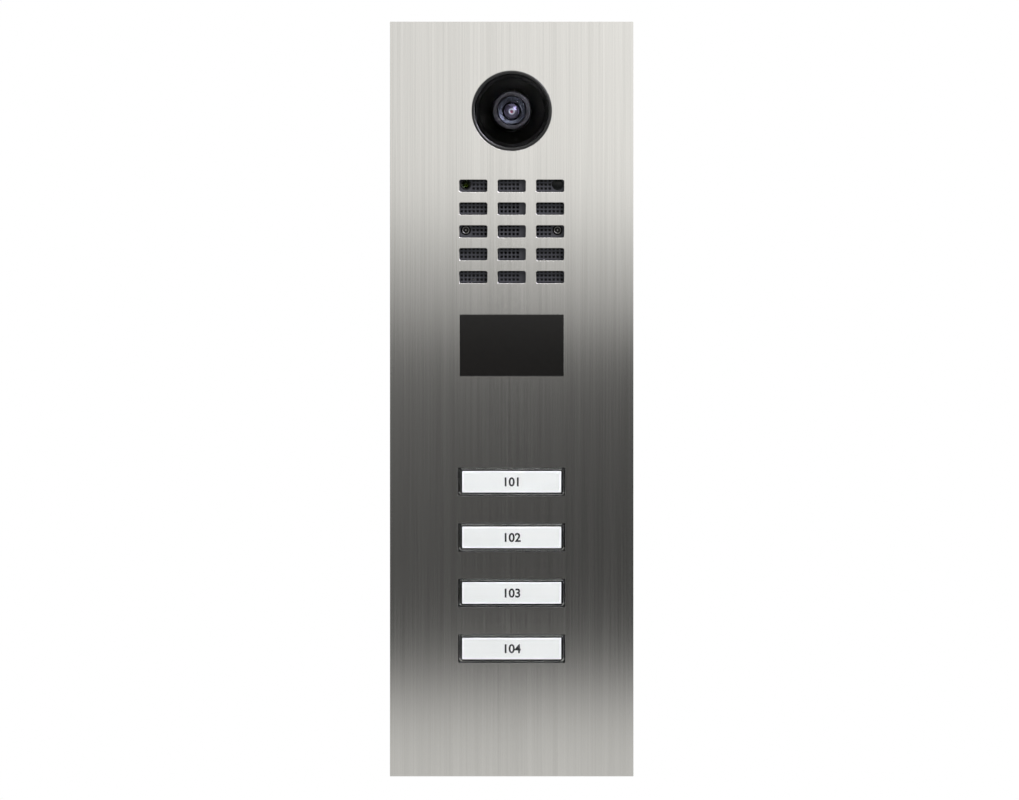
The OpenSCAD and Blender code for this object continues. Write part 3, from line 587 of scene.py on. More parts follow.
BEZEL_FLANGE = 1.8
hole_r = bezel_size.x / 2 - BEZEL_FLANGE
WINDOW_FLANGE = 2.3
window_w = window_size.x - 2 * WINDOW_FLANGE
window_h = window_size.z - 2 * WINDOW_FLANGE
KEY_FLANGE = 1.4
key_cut_w = cap_size.x - 2 * KEY_FLANGE
key_cut_h = cap_size.z - 2 * KEY_FLANGE
print("camera hole", round(hole_r * 2, 1), "window", round(window_w, 1), round(window_h, 1))


# %% Cutouts as outlines
def round_hole(radius, x, z, points=96):
    return lambda grow: circle(radius + grow, x, z, points)


def soft_hole(width, height, corner, x=0.0, z=0.0, steps=4):
    return lambda grow: soft_rect(
        width + 2 * grow, height + 2 * grow, corner + grow, x, z, steps
    )


def crisp_hole(width, height, corner, x=0.0, z=0.0, share=0.35):
    """A cutout whose edge is broken less than the others: by a share of the sheet's round."""
    return lambda grow: soft_rect(
        width + 2 * share * grow, height + 2 * share * grow, corner + share * grow, x, z, 4
    )


def slot_places():
    """The middle of each sound slot, with its column and row."""
    for col in (-1, 0, 1):
        for row in range(5):
            yield col * SLOT_PITCH_X, grille_mid.z + (2 - row) * SLOT_PITCH_Z, col, row


cutouts = [round_hole(hole_r, 0, bezel_mid.z, 128)]
cutouts += [crisp_hole(SLOT_W, SLOT_H, SLOT_CORNER, x, z, 0.6) for x, z, _, _ in slot_places()]
cutouts.append(crisp_hole(window_w, window_h, 0.15, 0, window_mid.z))
cutouts += [crisp_hole(key_cut_w, key_cut_h, 0.4, 0, z) for z in key_z]

place(
    "front_plate_steel",
    cut_sheet(
        crisp_hole(plate_size.x, plate_size.z, 0.2), cutouts,
        plate_front, plate_back, edge=0.3, back_edge=0.15,
    ),
    "station", STEEL, ["front_plate"],
)

# %% [markdown]
# ## The gasket and the wall box
#
# A strip of EPDM lies between the plate and the wall. The box behind it is folded from 2 mm
# sheet, so its edges are bends with a radius, and it has a flange all round. It is one
# rounded rectangle carried from the flange down the outside, over the back and up the
# inside; the back is filled around its screw holes and cable holes.

# %% Gasket
gasket_mid, gasket_size = measure("plate_gasket")
GASKET_STRIP = 4.0
place(
    "gasket_strip",
    cut_sheet(
        soft_hole(gasket_size.x, gasket_size.z, 0.6),
        [soft_hole(gasket_size.x - 2 * GASKET_STRIP, gasket_size.z - 2 * GASKET_STRIP, 0.6)],
        gasket_mid.y - gasket_size.y / 2, gasket_mid.y + gasket_size.y / 2, 0.2, 0.2,
    ),
    "station", EPDM, ["plate_gasket"],
)

# %% Folded wall box
box_size = measure("wall_box")[1]
BOX_WALL, BOX_FLANGE, FLANGE_T, BOX_CORNER = 2.0, 5.0, 1.5, 5.0
FIXING_R, FIXING_ACROSS, FIXING_UP = 2.5, 70.0, 240.0
grommet_mid, grommet_size = measure("cable_grommets")
GROMMET_LIP = 2.0
grommet_r = grommet_size.z / 2 - GROMMET_LIP
grommet_x = (grommet_size.x - grommet_size.z) / 2
box_w = box_size.x - 2 * BOX_FLANGE
box_h = box_size.z - 2 * BOX_FLANGE
box_back = box_size.y


def box_outline(grow):
    """The outside of the box; grow reaches out to the flange or in to the inner wall."""
    corner = BOX_CORNER if grow > 0 else BOX_CORNER + grow
    return soft_rect(box_w + 2 * grow, box_h + 2 * grow, corner, steps=8)


def wall_box():
    walls = soften([
        (-BOX_WALL, box_back - BOX_WALL),
        (-BOX_WALL, 0, 0.8),
        (BOX_FLANGE, 0, 0.3),
        (BOX_FLANGE, FLANGE_T, 0.3),
        (0, FLANGE_T, 0.8),
        (0, box_back, 1.6),
        (-BOX_WALL, box_back),
    ], 5)
    bm = bmesh.new()
    loops = [[bm.verts.new((x, y, z)) for x, z in box_outline(grow)] for grow, y in walls]
    for first, second in zip(loops, loops[1:]):
        bridge(bm, first, second)
    rims = [[], []]
    holes = [(x, grommet_mid.z, grommet_r) for x in (-grommet_x, grommet_x)]
    holes += [
        (x * FIXING_ACROSS / 2, z * FIXING_UP / 2, FIXING_R) for x in (-1, 1) for z in (-1, 1)
    ]
    ends = [(loops[0], loops[-1])]
    for x, z, radius in holes:
        pair = [
            [bm.verts.new((px, y, pz)) for px, pz in circle(radius, x, z, 48)]
            for y in (box_back - BOX_WALL, box_back)
        ]
        bridge(bm, *pair)
        ends.append(pair)
    for pair in ends:
        for rim, loop in zip(rims, pair):
            rim += [bm.edges.get((v, loop[(i + 1) % len(loop)])) for i, v in enumerate(loop)]
    for rim in rims:
        bmesh.ops.triangle_fill(bm, use_beauty=True, edges=[e for e in rim if e])
    return bm


def hanging_lip(bm):
    """The inner lip that the plate's hooks drop behind."""
    lip_w, lip_t, lip_y, lip_drop = 82.0, 1.5, 3.5, 3.2
    z_mid = box_h / 2 - BOX_WALL - lip_drop / 2 + 0.4
    outline = soft_hole(lip_w, lip_drop + 0.8, 0.5, 0, z_mid)
    profile = soften([(-0.2, lip_y), (0, lip_y, 0.2), (0, lip_y + lip_t, 0.2), (-0.2, lip_y + lip_t)])
    return carry(bm, outline, profile)


place("wall_box_sheet", hanging_lip(wall_box()), "station", GALVANISED, ["wall_box"])

# %% [markdown]
# ## Cable grommets
#
# Two rubber rings in the back of the box. A grommet is turned: a groove grips the sheet, a
# lip inside keeps it from falling out, and the bore is a little rounded where a cable goes in.

# %% Grommets
cable_bore = 5.0
grommet = bmesh.new()
lip_front = box_back - BOX_WALL - GROMMET_LIP
for x in (-grommet_x, grommet_x):
    carry(
        grommet, circle,
        soften([
            (cable_bore, lip_front, 0.8),
            (grommet_r + GROMMET_LIP, lip_front, 1.0),
            (grommet_r + GROMMET_LIP, box_back - BOX_WALL, 0.4),
            (grommet_r, box_back - BOX_WALL),
            (grommet_r, box_back, 0.5),
            (cable_bore, box_back, 0.8),
        ]),
        (x, grommet_mid.z), ring=True,
    )
place("cable_grommet_rings", grommet, "station", EPDM, ["cable_grommets"])

# %% [markdown]
# ## The camera
#
# From the outside in: a polished black bezel, a clear dome, a deep black baffle, and the
# lens with its barrel, its retaining ring and its front glass. All of it is turned, so each
# piece is one profile. The profile of the dome is an arc of a sphere, worked out from its
# radius and its rise.

# %% Bezel
y_bezel = bezel_mid.y - bezel_size.y / 2
y_module = bezel_mid.y + bezel_size.y / 2
BEZEL_WALL, FIT = 1.7, 0.1
bezel_r = hole_r - FIT
bezel_bore = bezel_r - BEZEL_WALL
dome_low, dome_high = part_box("camera_dome")
dome_foot_r = (dome_high.x - dome_low.x) / 2 / MM
dome_rise = y_bezel - dome_low.y / MM
DOME_FOOT = 1.6
camera = (0, bezel_mid.z)
turned(
    "camera_bezel_ring", camera, 128,
    soften([
        (bezel_bore, y_bezel, 1.0),
        (bezel_r, y_bezel, 0.3),
        (bezel_r, plate_back + 0.5),
        (hole_r + BEZEL_FLANGE, plate_back + 0.5),
        (hole_r + BEZEL_FLANGE, y_module),
        (dome_foot_r + FIT, y_module),
        (dome_foot_r + FIT, y_module - DOME_FOOT - FIT),
        (bezel_bore, y_module - DOME_FOOT - FIT),
    ], 6),
    GLOSS_BLACK, ["camera_bezel"], ring=True,
)


# %% Clear dome
def arc(radius, y_centre, from_r, to_r, steps=24):
    """Points on the front of a sphere, from one distance from the axis to another."""
    start, end = math.asin(from_r / radius), math.asin(to_r / radius)
    angles = [start + (end - start) * i / steps for i in range(steps + 1)]
    return [(radius * math.sin(a), y_centre - radius * math.cos(a)) for a in angles]


DOME_WALL = 1.2
dome_r = bezel_bore - FIT
dome_ball = (dome_r ** 2 + dome_rise ** 2) / (2 * dome_rise)
dome_centre = y_bezel - dome_rise + dome_ball
inner_ball = dome_ball - DOME_WALL
dome_inner_r = math.sqrt(inner_ball ** 2 - (dome_ball - dome_rise) ** 2)
outer_arc = arc(dome_ball, dome_centre, 0, dome_r - 0.05)
inner_arc = arc(inner_ball, dome_centre, 0, dome_inner_r)
turned(
    "camera_dome_shell", camera, 128,
    outer_arc + soften([
        (dome_r, y_bezel + 0.1),
        (dome_r, y_module - DOME_FOOT, 0.3),
        (dome_foot_r, y_module - DOME_FOOT, 0.2),
        (dome_foot_r, y_module, 0.2),
        (dome_inner_r, y_module, 0.2),
    ]) + inner_arc[::-1],
    POLYCARBONATE, ["camera_dome"],
)

# %% Baffle
lens_mid, lens_size = measure("lens_barrel")
lens_r = lens_size.x / 2
y_lens = lens_mid.y - lens_size.y / 2
baffle_r = dome_inner_r - FIT
turned(
    "camera_baffle_cone", camera, 128,
    soften([
        (lens_r + 0.3, y_module - 1.7, 0.3),
        (baffle_r, y_bezel + 1.6, 0.3),
        (baffle_r, y_module),
        (lens_r + 0.3, y_module),
    ]),
    BAFFLE_BLACK, ["camera_baffle"], ring=True,
)

# %% Lens barrel
retainer_mid, retainer_size = measure("lens_retainer")
retainer_r = retainer_size.x / 2
y_retainer = retainer_mid.y - retainer_size.y / 2
glass_mid, glass_size = measure("lens_front_element")
glass_r = glass_size.x / 2
y_glass_back = glass_mid.y + glass_size.y / 2
GLASS_T = 3.4
GLASS_BULGE = glass_size.y - GLASS_T
y_glass_rim = y_glass_back - GLASS_T
NECK = 1.6
y_barrel_end = lens_mid.y + lens_size.y / 2
turned(
    "lens_barrel_turned", camera, 128,
    soften([
        (retainer_r + FIT, y_lens + 0.9),
        (retainer_r + 0.6, y_lens, 0.25),
        (lens_r - 0.7, y_lens, 0.3),
        (lens_r, y_lens + 1.8),
        (lens_r, y_module - 1),
        (lens_r - NECK, y_module - 1),
        (lens_r - NECK, y_barrel_end),
        (glass_r, y_barrel_end),
        (glass_r, y_glass_back + 1),
        (glass_r - 1, y_glass_back + 1),
        (glass_r - 1, y_glass_back),
        (glass_r + FIT, y_glass_back),
        (glass_r + FIT, y_glass_rim),
        (retainer_r + FIT, y_glass_rim),
    ]),
    ANODISED_BLACK, ["lens_barrel"], ring=True,
)

# %% Retaining ring
turned(
    "lens_retainer_ring", camera, 128,
    soften([
        (glass_r + FIT, y_glass_rim),
        (glass_r + FIT, y_retainer + retainer_size.y / 2, 0.2),
        (retainer_r - 0.5, y_retainer, 0.3),
        (retainer_r, y_retainer, 0.2),
        (retainer_r, y_glass_rim),
    ]),
    ANODISED_GREY, ["lens_retainer"], ring=True,
)

# %% [markdown]
# The front glass is a thick meniscus: it bulges to the front and is hollow behind. Through
# it shows the stop, a black ring around a second lens with a violet coat. In its middle
# sits the aperture: a bright ring around a small lens whose magenta is a painted reflection
# of its coat.

# %% Front glass and the stop behind it
glass_ball = (glass_r ** 2 + GLASS_BULGE ** 2) / (2 * GLASS_BULGE)
front_arc = arc(glass_ball, y_glass_rim - GLASS_BULGE + glass_ball, 0, glass_r - 0.05)
HOLLOW_BALL, HOLLOW_R = 6.0, 3.6
hollow_centre = y_glass_back + math.sqrt(HOLLOW_BALL ** 2 - HOLLOW_R ** 2)
hollow_arc = arc(HOLLOW_BALL, hollow_centre, 0, HOLLOW_R)
turned(
    "lens_front_glass", camera, 96,
    front_arc + [(glass_r, y_glass_rim + 0.1), (glass_r, y_glass_back)] + hollow_arc[::-1],
    LENS_GLASS, ["lens_front_element"],
)
stop_y = y_glass_back + 0.1
STOP_R, SECOND_R, SECOND_BALL, DOT_R = 3.8, 3.4, 7.0, 0.7
turned(
    "lens_stop_ring", camera, 64,
    soften([
        (SECOND_R + FIT, stop_y, 0.1), (STOP_R, stop_y, 0.1),
        (STOP_R, stop_y + 0.8), (SECOND_R + FIT, stop_y + 0.8),
    ]),
    BAFFLE_BLACK, ring=True,
)
VIOLET_COAT = moulded("violet_lens_coat", "#050509", "#0a0a12", 1.0, 0.0, 0.17, 1.0)
y_second = stop_y - 0.5
second_arc = arc(SECOND_BALL, y_second + SECOND_BALL, 0, SECOND_R, 12)
turned(
    "lens_second_glass", camera, 64,
    second_arc + [(SECOND_R, stop_y + 1.6), (0, stop_y + 1.6)],
    VIOLET_COAT,
)
turned(
    "lens_aperture_ring", camera, 48,
    soften([
        (DOT_R, y_second - 0.25, 0.15), (DOT_R + 0.6, y_second - 0.25, 0.3),
        (DOT_R + 0.6, y_second + 0.2), (DOT_R, y_second + 0.2),
    ]),
    ALUMINIUM, ring=True,
)
THIRD_R, THIRD_BALL = DOT_R - 0.02, 1.4
third_arc = arc(THIRD_BALL, y_second - 0.15 + THIRD_BALL, 0, THIRD_R, 8)
# painted reflection: the coat's coloured reflection is painted as the small lens's own magenta colour
MAGENTA_PAINTED_REFLECTION = moulded("magenta_painted_reflection", "#8c3444", "#a04656", 1.0, 0.0, 0.05, 1.0)
turned(
    "lens_third_glass", camera, 32,
    third_arc + [(THIRD_R, y_second + 0.4), (0, y_second + 0.4)],
    MAGENTA_PAINTED_REFLECTION,
)

# %% [markdown]
# ## The speaker grille
#
# A moulded sheet with square holes on one grid. The grid leaves out a rib behind the right
# end of each middle slot, and the corners that the screws and the sensors take up.

# %% Grille
HOLE, PITCH = 1.3, 2.07
screw_mid, screw_size = measure("lock_screws")
HEAD_R = 2.1
element_x = screw_size.x / 2 - HEAD_R
lock_z = screw_mid.z
infrared_mid, infrared_size = measure("infrared_window")
sensor_z = infrared_mid.z
SENSOR_COLLAR = 1.0
sensor_r = infrared_size.z / 2 - SENSOR_COLLAR
LOCK_BORE = 2.675
y_grille = grille_mid.y - grille_size.y / 2


def sound_holes():
    """Square holes on one grid, wherever a slot of the plate shows them."""
    for slot_x, slot_z, col, row in slot_places():
        for k in range(-14, 14):
            x = (k + 0.5) * PITCH
            on_rib = 2 * PITCH < x < 4 * PITCH
            under_element = row in (0, 2) and abs(x) > element_x - 3
            in_slot = abs(x - slot_x) < SLOT_W / 2 + HOLE / 3
            if in_slot and not on_rib and not under_element:
                for step in (-1.5, -0.5, 0.5, 1.5):
                    yield x, slot_z + step * PITCH


grille_holes = [soft_hole(HOLE, HOLE, 0.12, x, z, 2) for x, z in sound_holes()]
for side in (-1, 1):
    grille_holes.append(round_hole(LOCK_BORE, side * element_x, lock_z, 48))
    grille_holes.append(round_hole(sensor_r + 0.05, side * element_x, sensor_z, 48))
place(
    "speaker_grille_sheet",
    cut_sheet(
        soft_hole(grille_size.x, grille_size.z, 0.5, 0, grille_mid.z), grille_holes,
        y_grille, y_grille + grille_size.y, 0.06,
    ),
    "station", GRILLE_ABS, ["grille_plate"],
)
print("sound holes:", len(grille_holes) - 4)

# %% [markdown]
# ## Lock screws
#
# Security screws with a six-lobed recess and a pin in its middle. The head is one profile
# again, but on the way into the recess the outline changes from a circle to a star.

# %% Lock screws
STAR, PIN, HEAD_T, STAR_DEEP, SHANK_R = 1.5, 0.4, 1.6, 1.3, 1.25
y_head = y_module - HEAD_T
y_tip = screw_mid.y + screw_size.y / 2


def star_or_circle(size):
    """A circle for a plain number; a six-lobed star for (size,)."""
    if not isinstance(size, tuple):
        return circle(size, points=72)
    turns = [2 * math.pi * i / 72 for i in range(72)]
    return [
        (size[0] * (1 - 0.13 * (1 - math.cos(6 * a))) * math.cos(a),
         size[0] * (1 - 0.13 * (1 - math.cos(6 * a))) * math.sin(a))
        for a in turns
    ]


head = soften([
    (0, y_tip), (SHANK_R, y_tip, 0.3), (SHANK_R, y_module), (HEAD_R, y_module),
    (HEAD_R, y_head, 0.35), (STAR + 0.2, y_head),
])
recess = [((STAR + 0.12,), y_head), ((STAR,), y_head + 0.12), ((STAR - 0.05,), y_head + STAR_DEEP)]
pin = [(PIN, y_head + STAR_DEEP), (PIN, y_head + 0.2), (PIN - 0.1, y_head + 0.1), (0, y_head + 0.08)]
screws = bmesh.new()
for side in (-1, 1):
    carry(screws, star_or_circle, head + recess + pin, (side * element_x, lock_z))
place("lock_screws_star", screws, "station", BLACK_STEEL, ["lock_screws"])
# painted highlights: a lighter copy of the blackened steel rings the edge of the recess and caps the
# tip of the pin
rims = bmesh.new()
ring_section = [(0.0, -0.03), (0.1, -0.06), (0.16, -0.02), (0.16, 0.03), (0.0, 0.03)]
edge_highlight = [(STAR + 0.06 + r, y_head + y) for r, y in ring_section]
TIP_R, TIP_T = PIN - 0.12, 0.12
tip_highlight = [(0, y_head), (TIP_R, y_head), (TIP_R, y_head + TIP_T), (0, y_head + TIP_T)]
for side in (-1, 1):
    spot = (side * element_x, lock_z)
    carry(rims, circle, edge_highlight, spot, ring=True)
    carry(rims, circle, tip_highlight, spot)
# the lighter steel of the painted highlights
HIGHLIGHT_STEEL = worked_metal("painted_highlight_steel", "#8c8c8a", "#a2a2a0", 0.3)
place("lock_screw_painted_highlights", rims, "station", HIGHLIGHT_STEEL)

# %% [markdown]
# ## Sensors
#
# Top left is a clear resin lens over a light sensor, whose gold leads show as a slanting
# glint. Top right is a plain dark window that only lets infrared light through.

# %% Sensors
light_mid, light_size = measure("light_sensor_lens")
light_front = light_mid.y - light_size.y / 2
light_r = light_size.z / 2 - SENSOR_COLLAR
light_back = light_mid.y + light_size.y / 2
RESIN_R, RESIN_DEEP = 2.1, 1.7
y_resin_back = light_front + RESIN_DEEP
sensor_spot = (-element_x, sensor_z)
lens_arc = arc(3.0, light_front + 3.0, 0, RESIN_R - 0.05, 8)
turned(
    "light_sensor_dome", sensor_spot, 48,
    lens_arc + [(RESIN_R, light_front + 1.0), (RESIN_R, y_resin_back), (0, y_resin_back)],
    SENSOR_RESIN, ["light_sensor_lens"],
)
turned(
    "light_sensor_ring", sensor_spot, 48,
    soften([
        (0, y_resin_back + 0.3),
        (RESIN_R + 0.05, y_resin_back + 0.3),
        (RESIN_R + 0.05, light_front + 0.2, 0.2),
        (light_r, light_front + 0.2, 0.3),
        (light_r, light_back - SENSOR_COLLAR),
        (light_r + SENSOR_COLLAR, light_back - SENSOR_COLLAR),
        (light_r + SENSOR_COLLAR, light_back),
        (0, light_back),
    ]),
    GLOSS_BLACK,
)
# the gold leads slant from the upper left to the lower right under the lens
GOLD = worked_metal("gold_leads", "#98a434", "#b4be4c", 0.4)
LEAD_W, TILT = 0.32, math.radians(-52)
y_lead = y_resin_back + 0.05
lead_profile = [(-0.05, y_lead), (0, y_lead + 0.05), (0, y_lead + 0.15), (-0.05, y_lead + 0.2)]


def slanted(length, shift):
    """The outline of one lead, turned by TILT."""
    def outline(grow):
        flat = soft_rect(length + 2 * grow, LEAD_W + 2 * grow, 0.1, 0, shift, 2)
        return [
            (x * math.cos(TILT) - z * math.sin(TILT), x * math.sin(TILT) + z * math.cos(TILT))
            for x, z in flat
        ]
    return outline


leads = bmesh.new()
for shift, length in ((-0.34, 1.5), (0.34, 2.0)):
    carry(leads, slanted(length, shift), lead_profile, sensor_spot)
place("light_sensor_leads", leads, "station", GOLD)

infrared_front = infrared_mid.y - infrared_size.y / 2
infrared_back = infrared_mid.y + infrared_size.y / 2
turned(
    "infrared_window_disc", (element_x, sensor_z), 48,
    [(0, infrared_front)] + soften([
        (sensor_r, infrared_front, 0.4),
        (sensor_r, infrared_back - SENSOR_COLLAR),
        (sensor_r + SENSOR_COLLAR, infrared_back - SENSOR_COLLAR),
        (sensor_r + SENSOR_COLLAR, infrared_back),
    ]) + [(0, infrared_back)],
    INFRARED, ["infrared_window"],
)

# %% [markdown]
# ## The reader's window
#
# A block of black acrylic that fills the cutout from behind, with a flange that lies
# against the plate. Its front edge is broken by a hair.

# %% Reader window
y_window = window_mid.y - window_size.y / 2
y_window_back = window_mid.y + window_size.y / 2
y_window_flange = plate_back + 0.5
pane_w, pane_h = window_w - 2 * FIT, window_h - 2 * FIT
place(
    "reader_window_pane",
    carry(
        bmesh.new(), lambda grow: soft_rect(pane_w + 2 * grow, pane_h + 2 * grow, 0.3 + grow, steps=5),
        soften([
            (-0.25, y_window), (0, y_window, 0.25), (0, y_window_flange),
            (WINDOW_FLANGE + FIT, y_window_flange), (WINDOW_FLANGE + FIT, y_window_back),
        ]),
        (0, window_mid.z),
    ),
    "station", WINDOW_BLACK, ["reader_window"],
)

# %% [markdown]
# ## Call buttons
#
# Each button is a clear cap with a pocket in its back. The name insert lies in the pocket,
# a milky light guide presses it forward, and a black base with a stem closes the cap. All
# of them ride on the button's own body, so they travel together when it is pressed.

# %% Button sizes
y_key = cap_mid.y - cap_size.y / 2
y_key_base = cap_mid.y + cap_size.y / 2
KEY_FLANGE_T = 1.45
y_key_flange = y_key_base - KEY_FLANGE_T
key_w, key_h = key_cut_w - 2 * KEY_GAP, key_cut_h - 2 * KEY_GAP
label_w, label_h, label_t = label_size.x, label_size.z, label_size.y
y_label = label_mid.y - label_t / 2
BORDER = 0.8
CARD = printed_card(label_w, label_h, BORDER)
base_mid, base_size = measure("key_carrier_1")
STEM_R, STEM_LEN, BASE_T = 2.5, 3.7, 1.5
y_stem_end = base_mid.y + base_size.y / 2
y_base = y_stem_end - STEM_LEN - BASE_T
print("cap", round(key_w, 2), round(key_h, 2), "label", round(label_w, 2), round(label_h, 2))


# %% Clear cap
def button_cap():
    corner = 1.5
    flange = KEY_FLANGE + KEY_GAP
    pocket = (label_w - key_w) / 2 + FIT
    profile = soften([
        (-0.9, y_key), (0, y_key, 0.9), (0, y_key_flange, 0.2), (flange, y_key_flange, 0.2),
        (flange, y_key_base, 0.2), (pocket, y_key_base, 0.1), (pocket, y_label),
    ], 5)
    # the flange and the pocket are nearly square, the cap itself has round corners
    outline = lambda grow: soft_rect(
        key_w + 2 * grow, key_h + 2 * grow, corner + grow if -1 < grow <= 0 else 0.4, steps=6
    )
    return carry(bmesh.new(), outline, profile)


# %% Label, number, light guide and base
def flat_label():
    card = soft_hole(label_w, label_h, 0.15)
    y_card = y_label + 0.08
    return carry(bmesh.new(), card, [(-0.04, y_card), (0, y_card + 0.04), (0, y_label + label_t)])


STRIP_AWAY, STRIP_W, STRIP_T = 0.9, 0.2, 0.4


def light_guide():
    block = soft_hole(label_w, label_h, 0.3)
    y_pad = y_label + label_t
    bm = carry(bmesh.new(), block, [(0, y_pad + 0.02), (0, y_base)])
    # a thin strip around the guide lies on the base and shows in the cap's clear wall
    inner, outer = STRIP_AWAY, STRIP_AWAY + STRIP_W
    y_strip = y_base + STRIP_T
    strip = [(inner, y_base), (outer, y_base), (outer, y_strip), (inner, y_strip)]
    return carry(bm, block, strip, ring=True)


def key_base():
    plate_shape = soft_hole(base_size.x, base_size.z, 0.6)
    bm = carry(bmesh.new(), plate_shape, [(0, y_base + STRIP_T + 0.01), (0, y_base + BASE_T)])
    stem = soften([(STEM_R, y_base + BASE_T - 0.2), (STEM_R, y_stem_end, 0.3), (0, y_stem_end)])
    return carry(bm, lambda r: circle(r, points=48), stem)


NUMBER_HEIGHT = 4.4
NUMBER_DEEP = 0.03


def number(text):
    """Printed figures as a thin mesh, facing the front."""
    letters = bpy.data.curves.new("figures", "FONT")
    letters.body = text
    letters.align_x = "CENTER"
    # capital height is about 0.7 of the type size
    letters.size = NUMBER_HEIGHT / 0.7
    letters.extrude = NUMBER_DEEP / 2
    letters.offset = 0.15
    carrier = bpy.data.objects.new("figures", letters)
    bpy.context.scene.collection.objects.link(carrier)
    bpy.context.view_layer.update()
    mesh = bpy.data.meshes.new_from_object(carrier.evaluated_get(bpy.context.evaluated_depsgraph_get()))
    bm = bmesh.new()
    bm.from_mesh(mesh)
    bpy.data.objects.remove(carrier)
    turn = Matrix.Rotation(math.pi / 2, 4, "X")
    bm.transform(Matrix.Translation((0, y_label + 0.06, -NUMBER_HEIGHT / 2)) @ turn)
    return bm


def label_map(piece, z):
    """A flat map in millimetres from the label's middle, for the printed border."""
    layer = piece.data.uv_layers.new(name="label")
    for corner in piece.data.loops:
        spot = piece.data.vertices[corner.vertex_index].co / MM
        layer.data[corner.index].uv = (spot.x, spot.z - z)


# %% Build the four buttons
for n, z in enumerate(key_z, start=1):
    body = f"call_button_{n}"
    up = Matrix.Translation((0, 0, z))
    pieces = [
        (f"clear_cap_{n}", button_cap(), ACRYLIC, "clear_acrylic", [f"button_cap_{n}"]),
        (f"name_insert_{n}", flat_label(), CARD, "label_paper", [f"name_label_{n}"]),
        (f"figures_{n}", number(str(100 + n)), INK, "label_paper", []),
        (f"light_guide_{n}", light_guide(), MILKY, "milky_acrylic", []),
        (f"key_base_{n}", key_base(), ABS, "black_abs", [f"key_carrier_{n}"]),
    ]
    for name, bm, finish, slot, stands_for in pieces:
        bm.transform(up)
        piece = place(name, bm, body, finish, stands_for)
        if name.startswith("name_insert"):
            label_map(piece, z)

# %% [markdown]
# ## Parts that keep their own shape
#
# The rest of the module is hidden behind the plate. Its parts keep the shape they have in
# the model and only take on their finish, each from the slot that the record names.

# %% Finish the parts inside
INNER = {
    "plain_stainless": PLAIN_STEEL,
    "turned_aluminium": ALUMINIUM,
    "zinc_screws": ZINC_SCREW,
    "black_abs": ABS,
    "black_rubber": EPDM,
    "circuit_board": BOARD,
    "cone_paper": CONE_PAPER,
    "magnet_steel": MAGNET,
    "led_resin": LED_RESIN,
    "chip_epoxy": EPOXY,
    "socket_shell": SOCKET_SHELL,
    "terminal_nylon": NYLON,
    "flex_polyimide": RIBBON,
    "silicone": SILICONE,
}
slot_of = {part["node"]: part["material_slot"] for part in frame["record"]["subparts"]}
kept = 0
for node, part in frame["nodes"].items():
    if part.hide_render:
        continue
    finish = INNER[slot_of[node]]
    part.data.materials.clear()
    part.data.materials.append(finish)
    kept += 1
print("parts that keep their shape:", kept)

# %% [markdown]
# ## Light
#
# Brushed steel shows the room it stands in. Here the room is a white studio with a soft
# light above, a dark gap at eye level and a weaker light below, and the plate mirrors that
# as level bands. The room is the world shader: its brightness depends on how high a
# direction points, and on left and right. The camera itself sees plain white. Softboxes
# above and at both sides light the matt parts.

# %% Camera
EYE = 1.4
FRAME_W = 0.5252
SENSOR = 0.036
camera_data = bpy.data.cameras.new("camera")
camera_data.sensor_width = SENSOR / MM
camera_data.lens = SENSOR / FRAME_W * EYE / MM
eye = bpy.data.objects.new("camera", camera_data)
# it stands a hair to the left of the plate's middle and below it
eye.location = (-0.00113, plate_front * MM - EYE, -0.00052)
eye.rotation_euler = (math.pi / 2, 0, 0)
bpy.context.scene.collection.objects.link(eye)
bpy.context.scene.camera = eye
bpy.context.scene.view_settings.view_transform = "Standard"

# %% Studio
# listed in steps of a tenth: a light below, the dark gap at eye level, the light above
# (height on the plate where the band is mirrored in mm, light at the left, light at the right)
BANDS = [
    (-430, 0.7, 0.7),
    (-175, 0.7, 0.7),
    (-125, 0.1, 0.0),
    (20, 0.2, 0.0),
    (60, 0.2, 0.8),
    (110, 0.6, 1.3),
    (430, 0.7, 1.3),
]
REACH = 0.3
SIDEWAYS = 3.0


def band_ramp(tree, source, side):
    """The bands of the room at one side, over the height of a direction."""
    ramp = add(tree, "ValToRGB", links={"Fac": (source, "Result")}).color_ramp
    ramp.interpolation = "EASE"
    while len(ramp.elements) < len(BANDS):
        ramp.elements.new(1.0)
    for element, band in zip(ramp.elements, BANDS):
        rise = math.sin(math.atan(band[0] * MM / EYE))
        element.position = (rise + REACH) / (2 * REACH)
        element.color = (band[side], band[side] * 0.992, band[side] * 0.98, 1)
    return tree.nodes[-1]


world = bpy.data.worlds.new("studio")
world.use_nodes = True
bpy.context.scene.world = world
room = world.node_tree
looking = add(room, "TexCoord")
way = add(room, "SeparateXYZ", links={"Vector": (looking, "Generated")})
rise = add(room, "MapRange", {"From Min": -REACH, "From Max": REACH}, {"Value": (way, "Z")})
left = band_ramp(room, rise, 1)
right = band_ramp(room, rise, 2)
reach = 0.5 / SIDEWAYS
across = add(room, "MapRange", {"From Min": -reach, "From Max": reach}, {"Value": (way, "X")})
bands = add(
    room, "Mix", {"data_type": "RGBA"},
    {0: (across, "Result"), 6: (left, "Color"), 7: (right, "Color")},
)
seen = add(room, "LightPath")
shown = add(
    room, "Mix", {"data_type": "RGBA", 7: (1, 1, 1, 1)},
    {0: (seen, "Is Camera Ray"), 6: (bands, 2)},
)
room.links.new(shown.outputs[2], room.nodes["Background"].inputs["Color"])


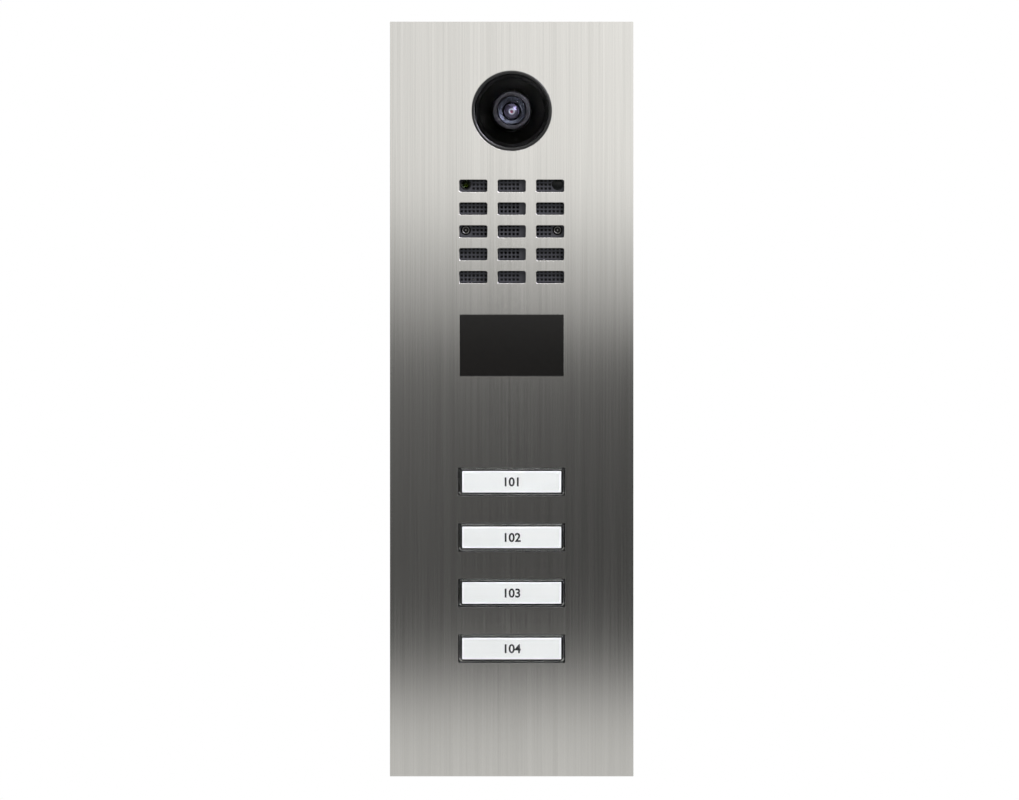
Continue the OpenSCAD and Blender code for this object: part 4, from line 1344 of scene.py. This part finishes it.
# %% Softboxes
def softbox(name, azimuth, elevation, distance, width, height, brightness, tint="#ffffff"):
    """A soft light aimed at the plate's middle; brightness is what its face shows."""
    data = bpy.data.lights.new(name, "AREA")
    data.shape = "RECTANGLE"
    data.size, data.size_y = width, height
    data.energy = brightness * math.pi * width * height
    data.color = tone(tint)[:3]
    lamp = bpy.data.objects.new(name, data)
    a, e = math.radians(azimuth), math.radians(elevation)
    toward = Vector((math.sin(a) * math.cos(e), -math.cos(a) * math.cos(e), math.sin(e)))
    lamp.location = toward * distance
    lamp.rotation_euler = toward.to_track_quat("Z", "Y").to_euler()
    lamp.visible_camera = False
    bpy.context.scene.collection.objects.link(lamp)
    return lamp


softbox("softbox_high", 8, 62, 1.8, 1.6, 1.0, 2.4)
SIDE_FILL, SIDE_SHEEN = 3.2, 1.1
# each side box lights matt parts strongly; its mirror image is dimmer, so that the polished
# plate doesn't burn out where it is seen from the side
for side, azimuth, elevation, tint in (("left", -68, -8, "#ffffff"), ("right", 68, 8, "#f6f6ff")):
    fill = softbox(f"softbox_{side}", azimuth, elevation, 1.8, 0.9, 1.3, SIDE_FILL, tint)
    fill.visible_glossy = False
    sheen = softbox(f"sheen_{side}", azimuth, elevation, 1.8, 0.9, 1.3, SIDE_SHEEN, tint)
    sheen.visible_diffuse = False
# a catch light: it only shows in polished parts, as the bright patch in the lens
catch = softbox("catch_light", 30, 32, 1.8, 0.9, 0.8, 11.0, "#f2eeff")
catch.visible_diffuse = False

# %% [markdown]
# ## Floor
#
# A pale painted disc, well below the station, which hangs free as it would on a wall.

# %% Floor
FLOOR_R, FLOOR_T, FLOOR_Z = 900, 2, -350
floor_mesh = bmesh.new()
carry(
    floor_mesh, lambda r: circle(r, points=96),
    soften([
        (0, -FLOOR_T), (FLOOR_R - 20, -FLOOR_T), (FLOOR_R - 10, -FLOOR_T),
        (FLOOR_R, -FLOOR_T, 2), (FLOOR_R, 0, 2), (0, 0),
    ]),
)
floor_mesh.transform(Matrix.Rotation(-math.pi / 2, 4, "X"))
floor_mesh.transform(Matrix.Translation((0, 0, FLOOR_Z)))
floor_mesh.transform(Matrix.Scale(MM, 4))
bmesh.ops.recalc_face_normals(floor_mesh, faces=floor_mesh.faces)
for face in floor_mesh.faces:
    face.smooth = False
floor_data = bpy.data.meshes.new("floor")
floor_mesh.to_mesh(floor_data)
floor_mesh.free()
floor = bpy.data.objects.new("floor", floor_data)
bpy.context.scene.collection.objects.link(floor)
PALE_FLOOR = moulded("pale_floor_paint", "#b6b6b4", "#bcbcba", 8.0, 0.02, 0.8, 0.2)
floor_data.materials.append(PALE_FLOOR)
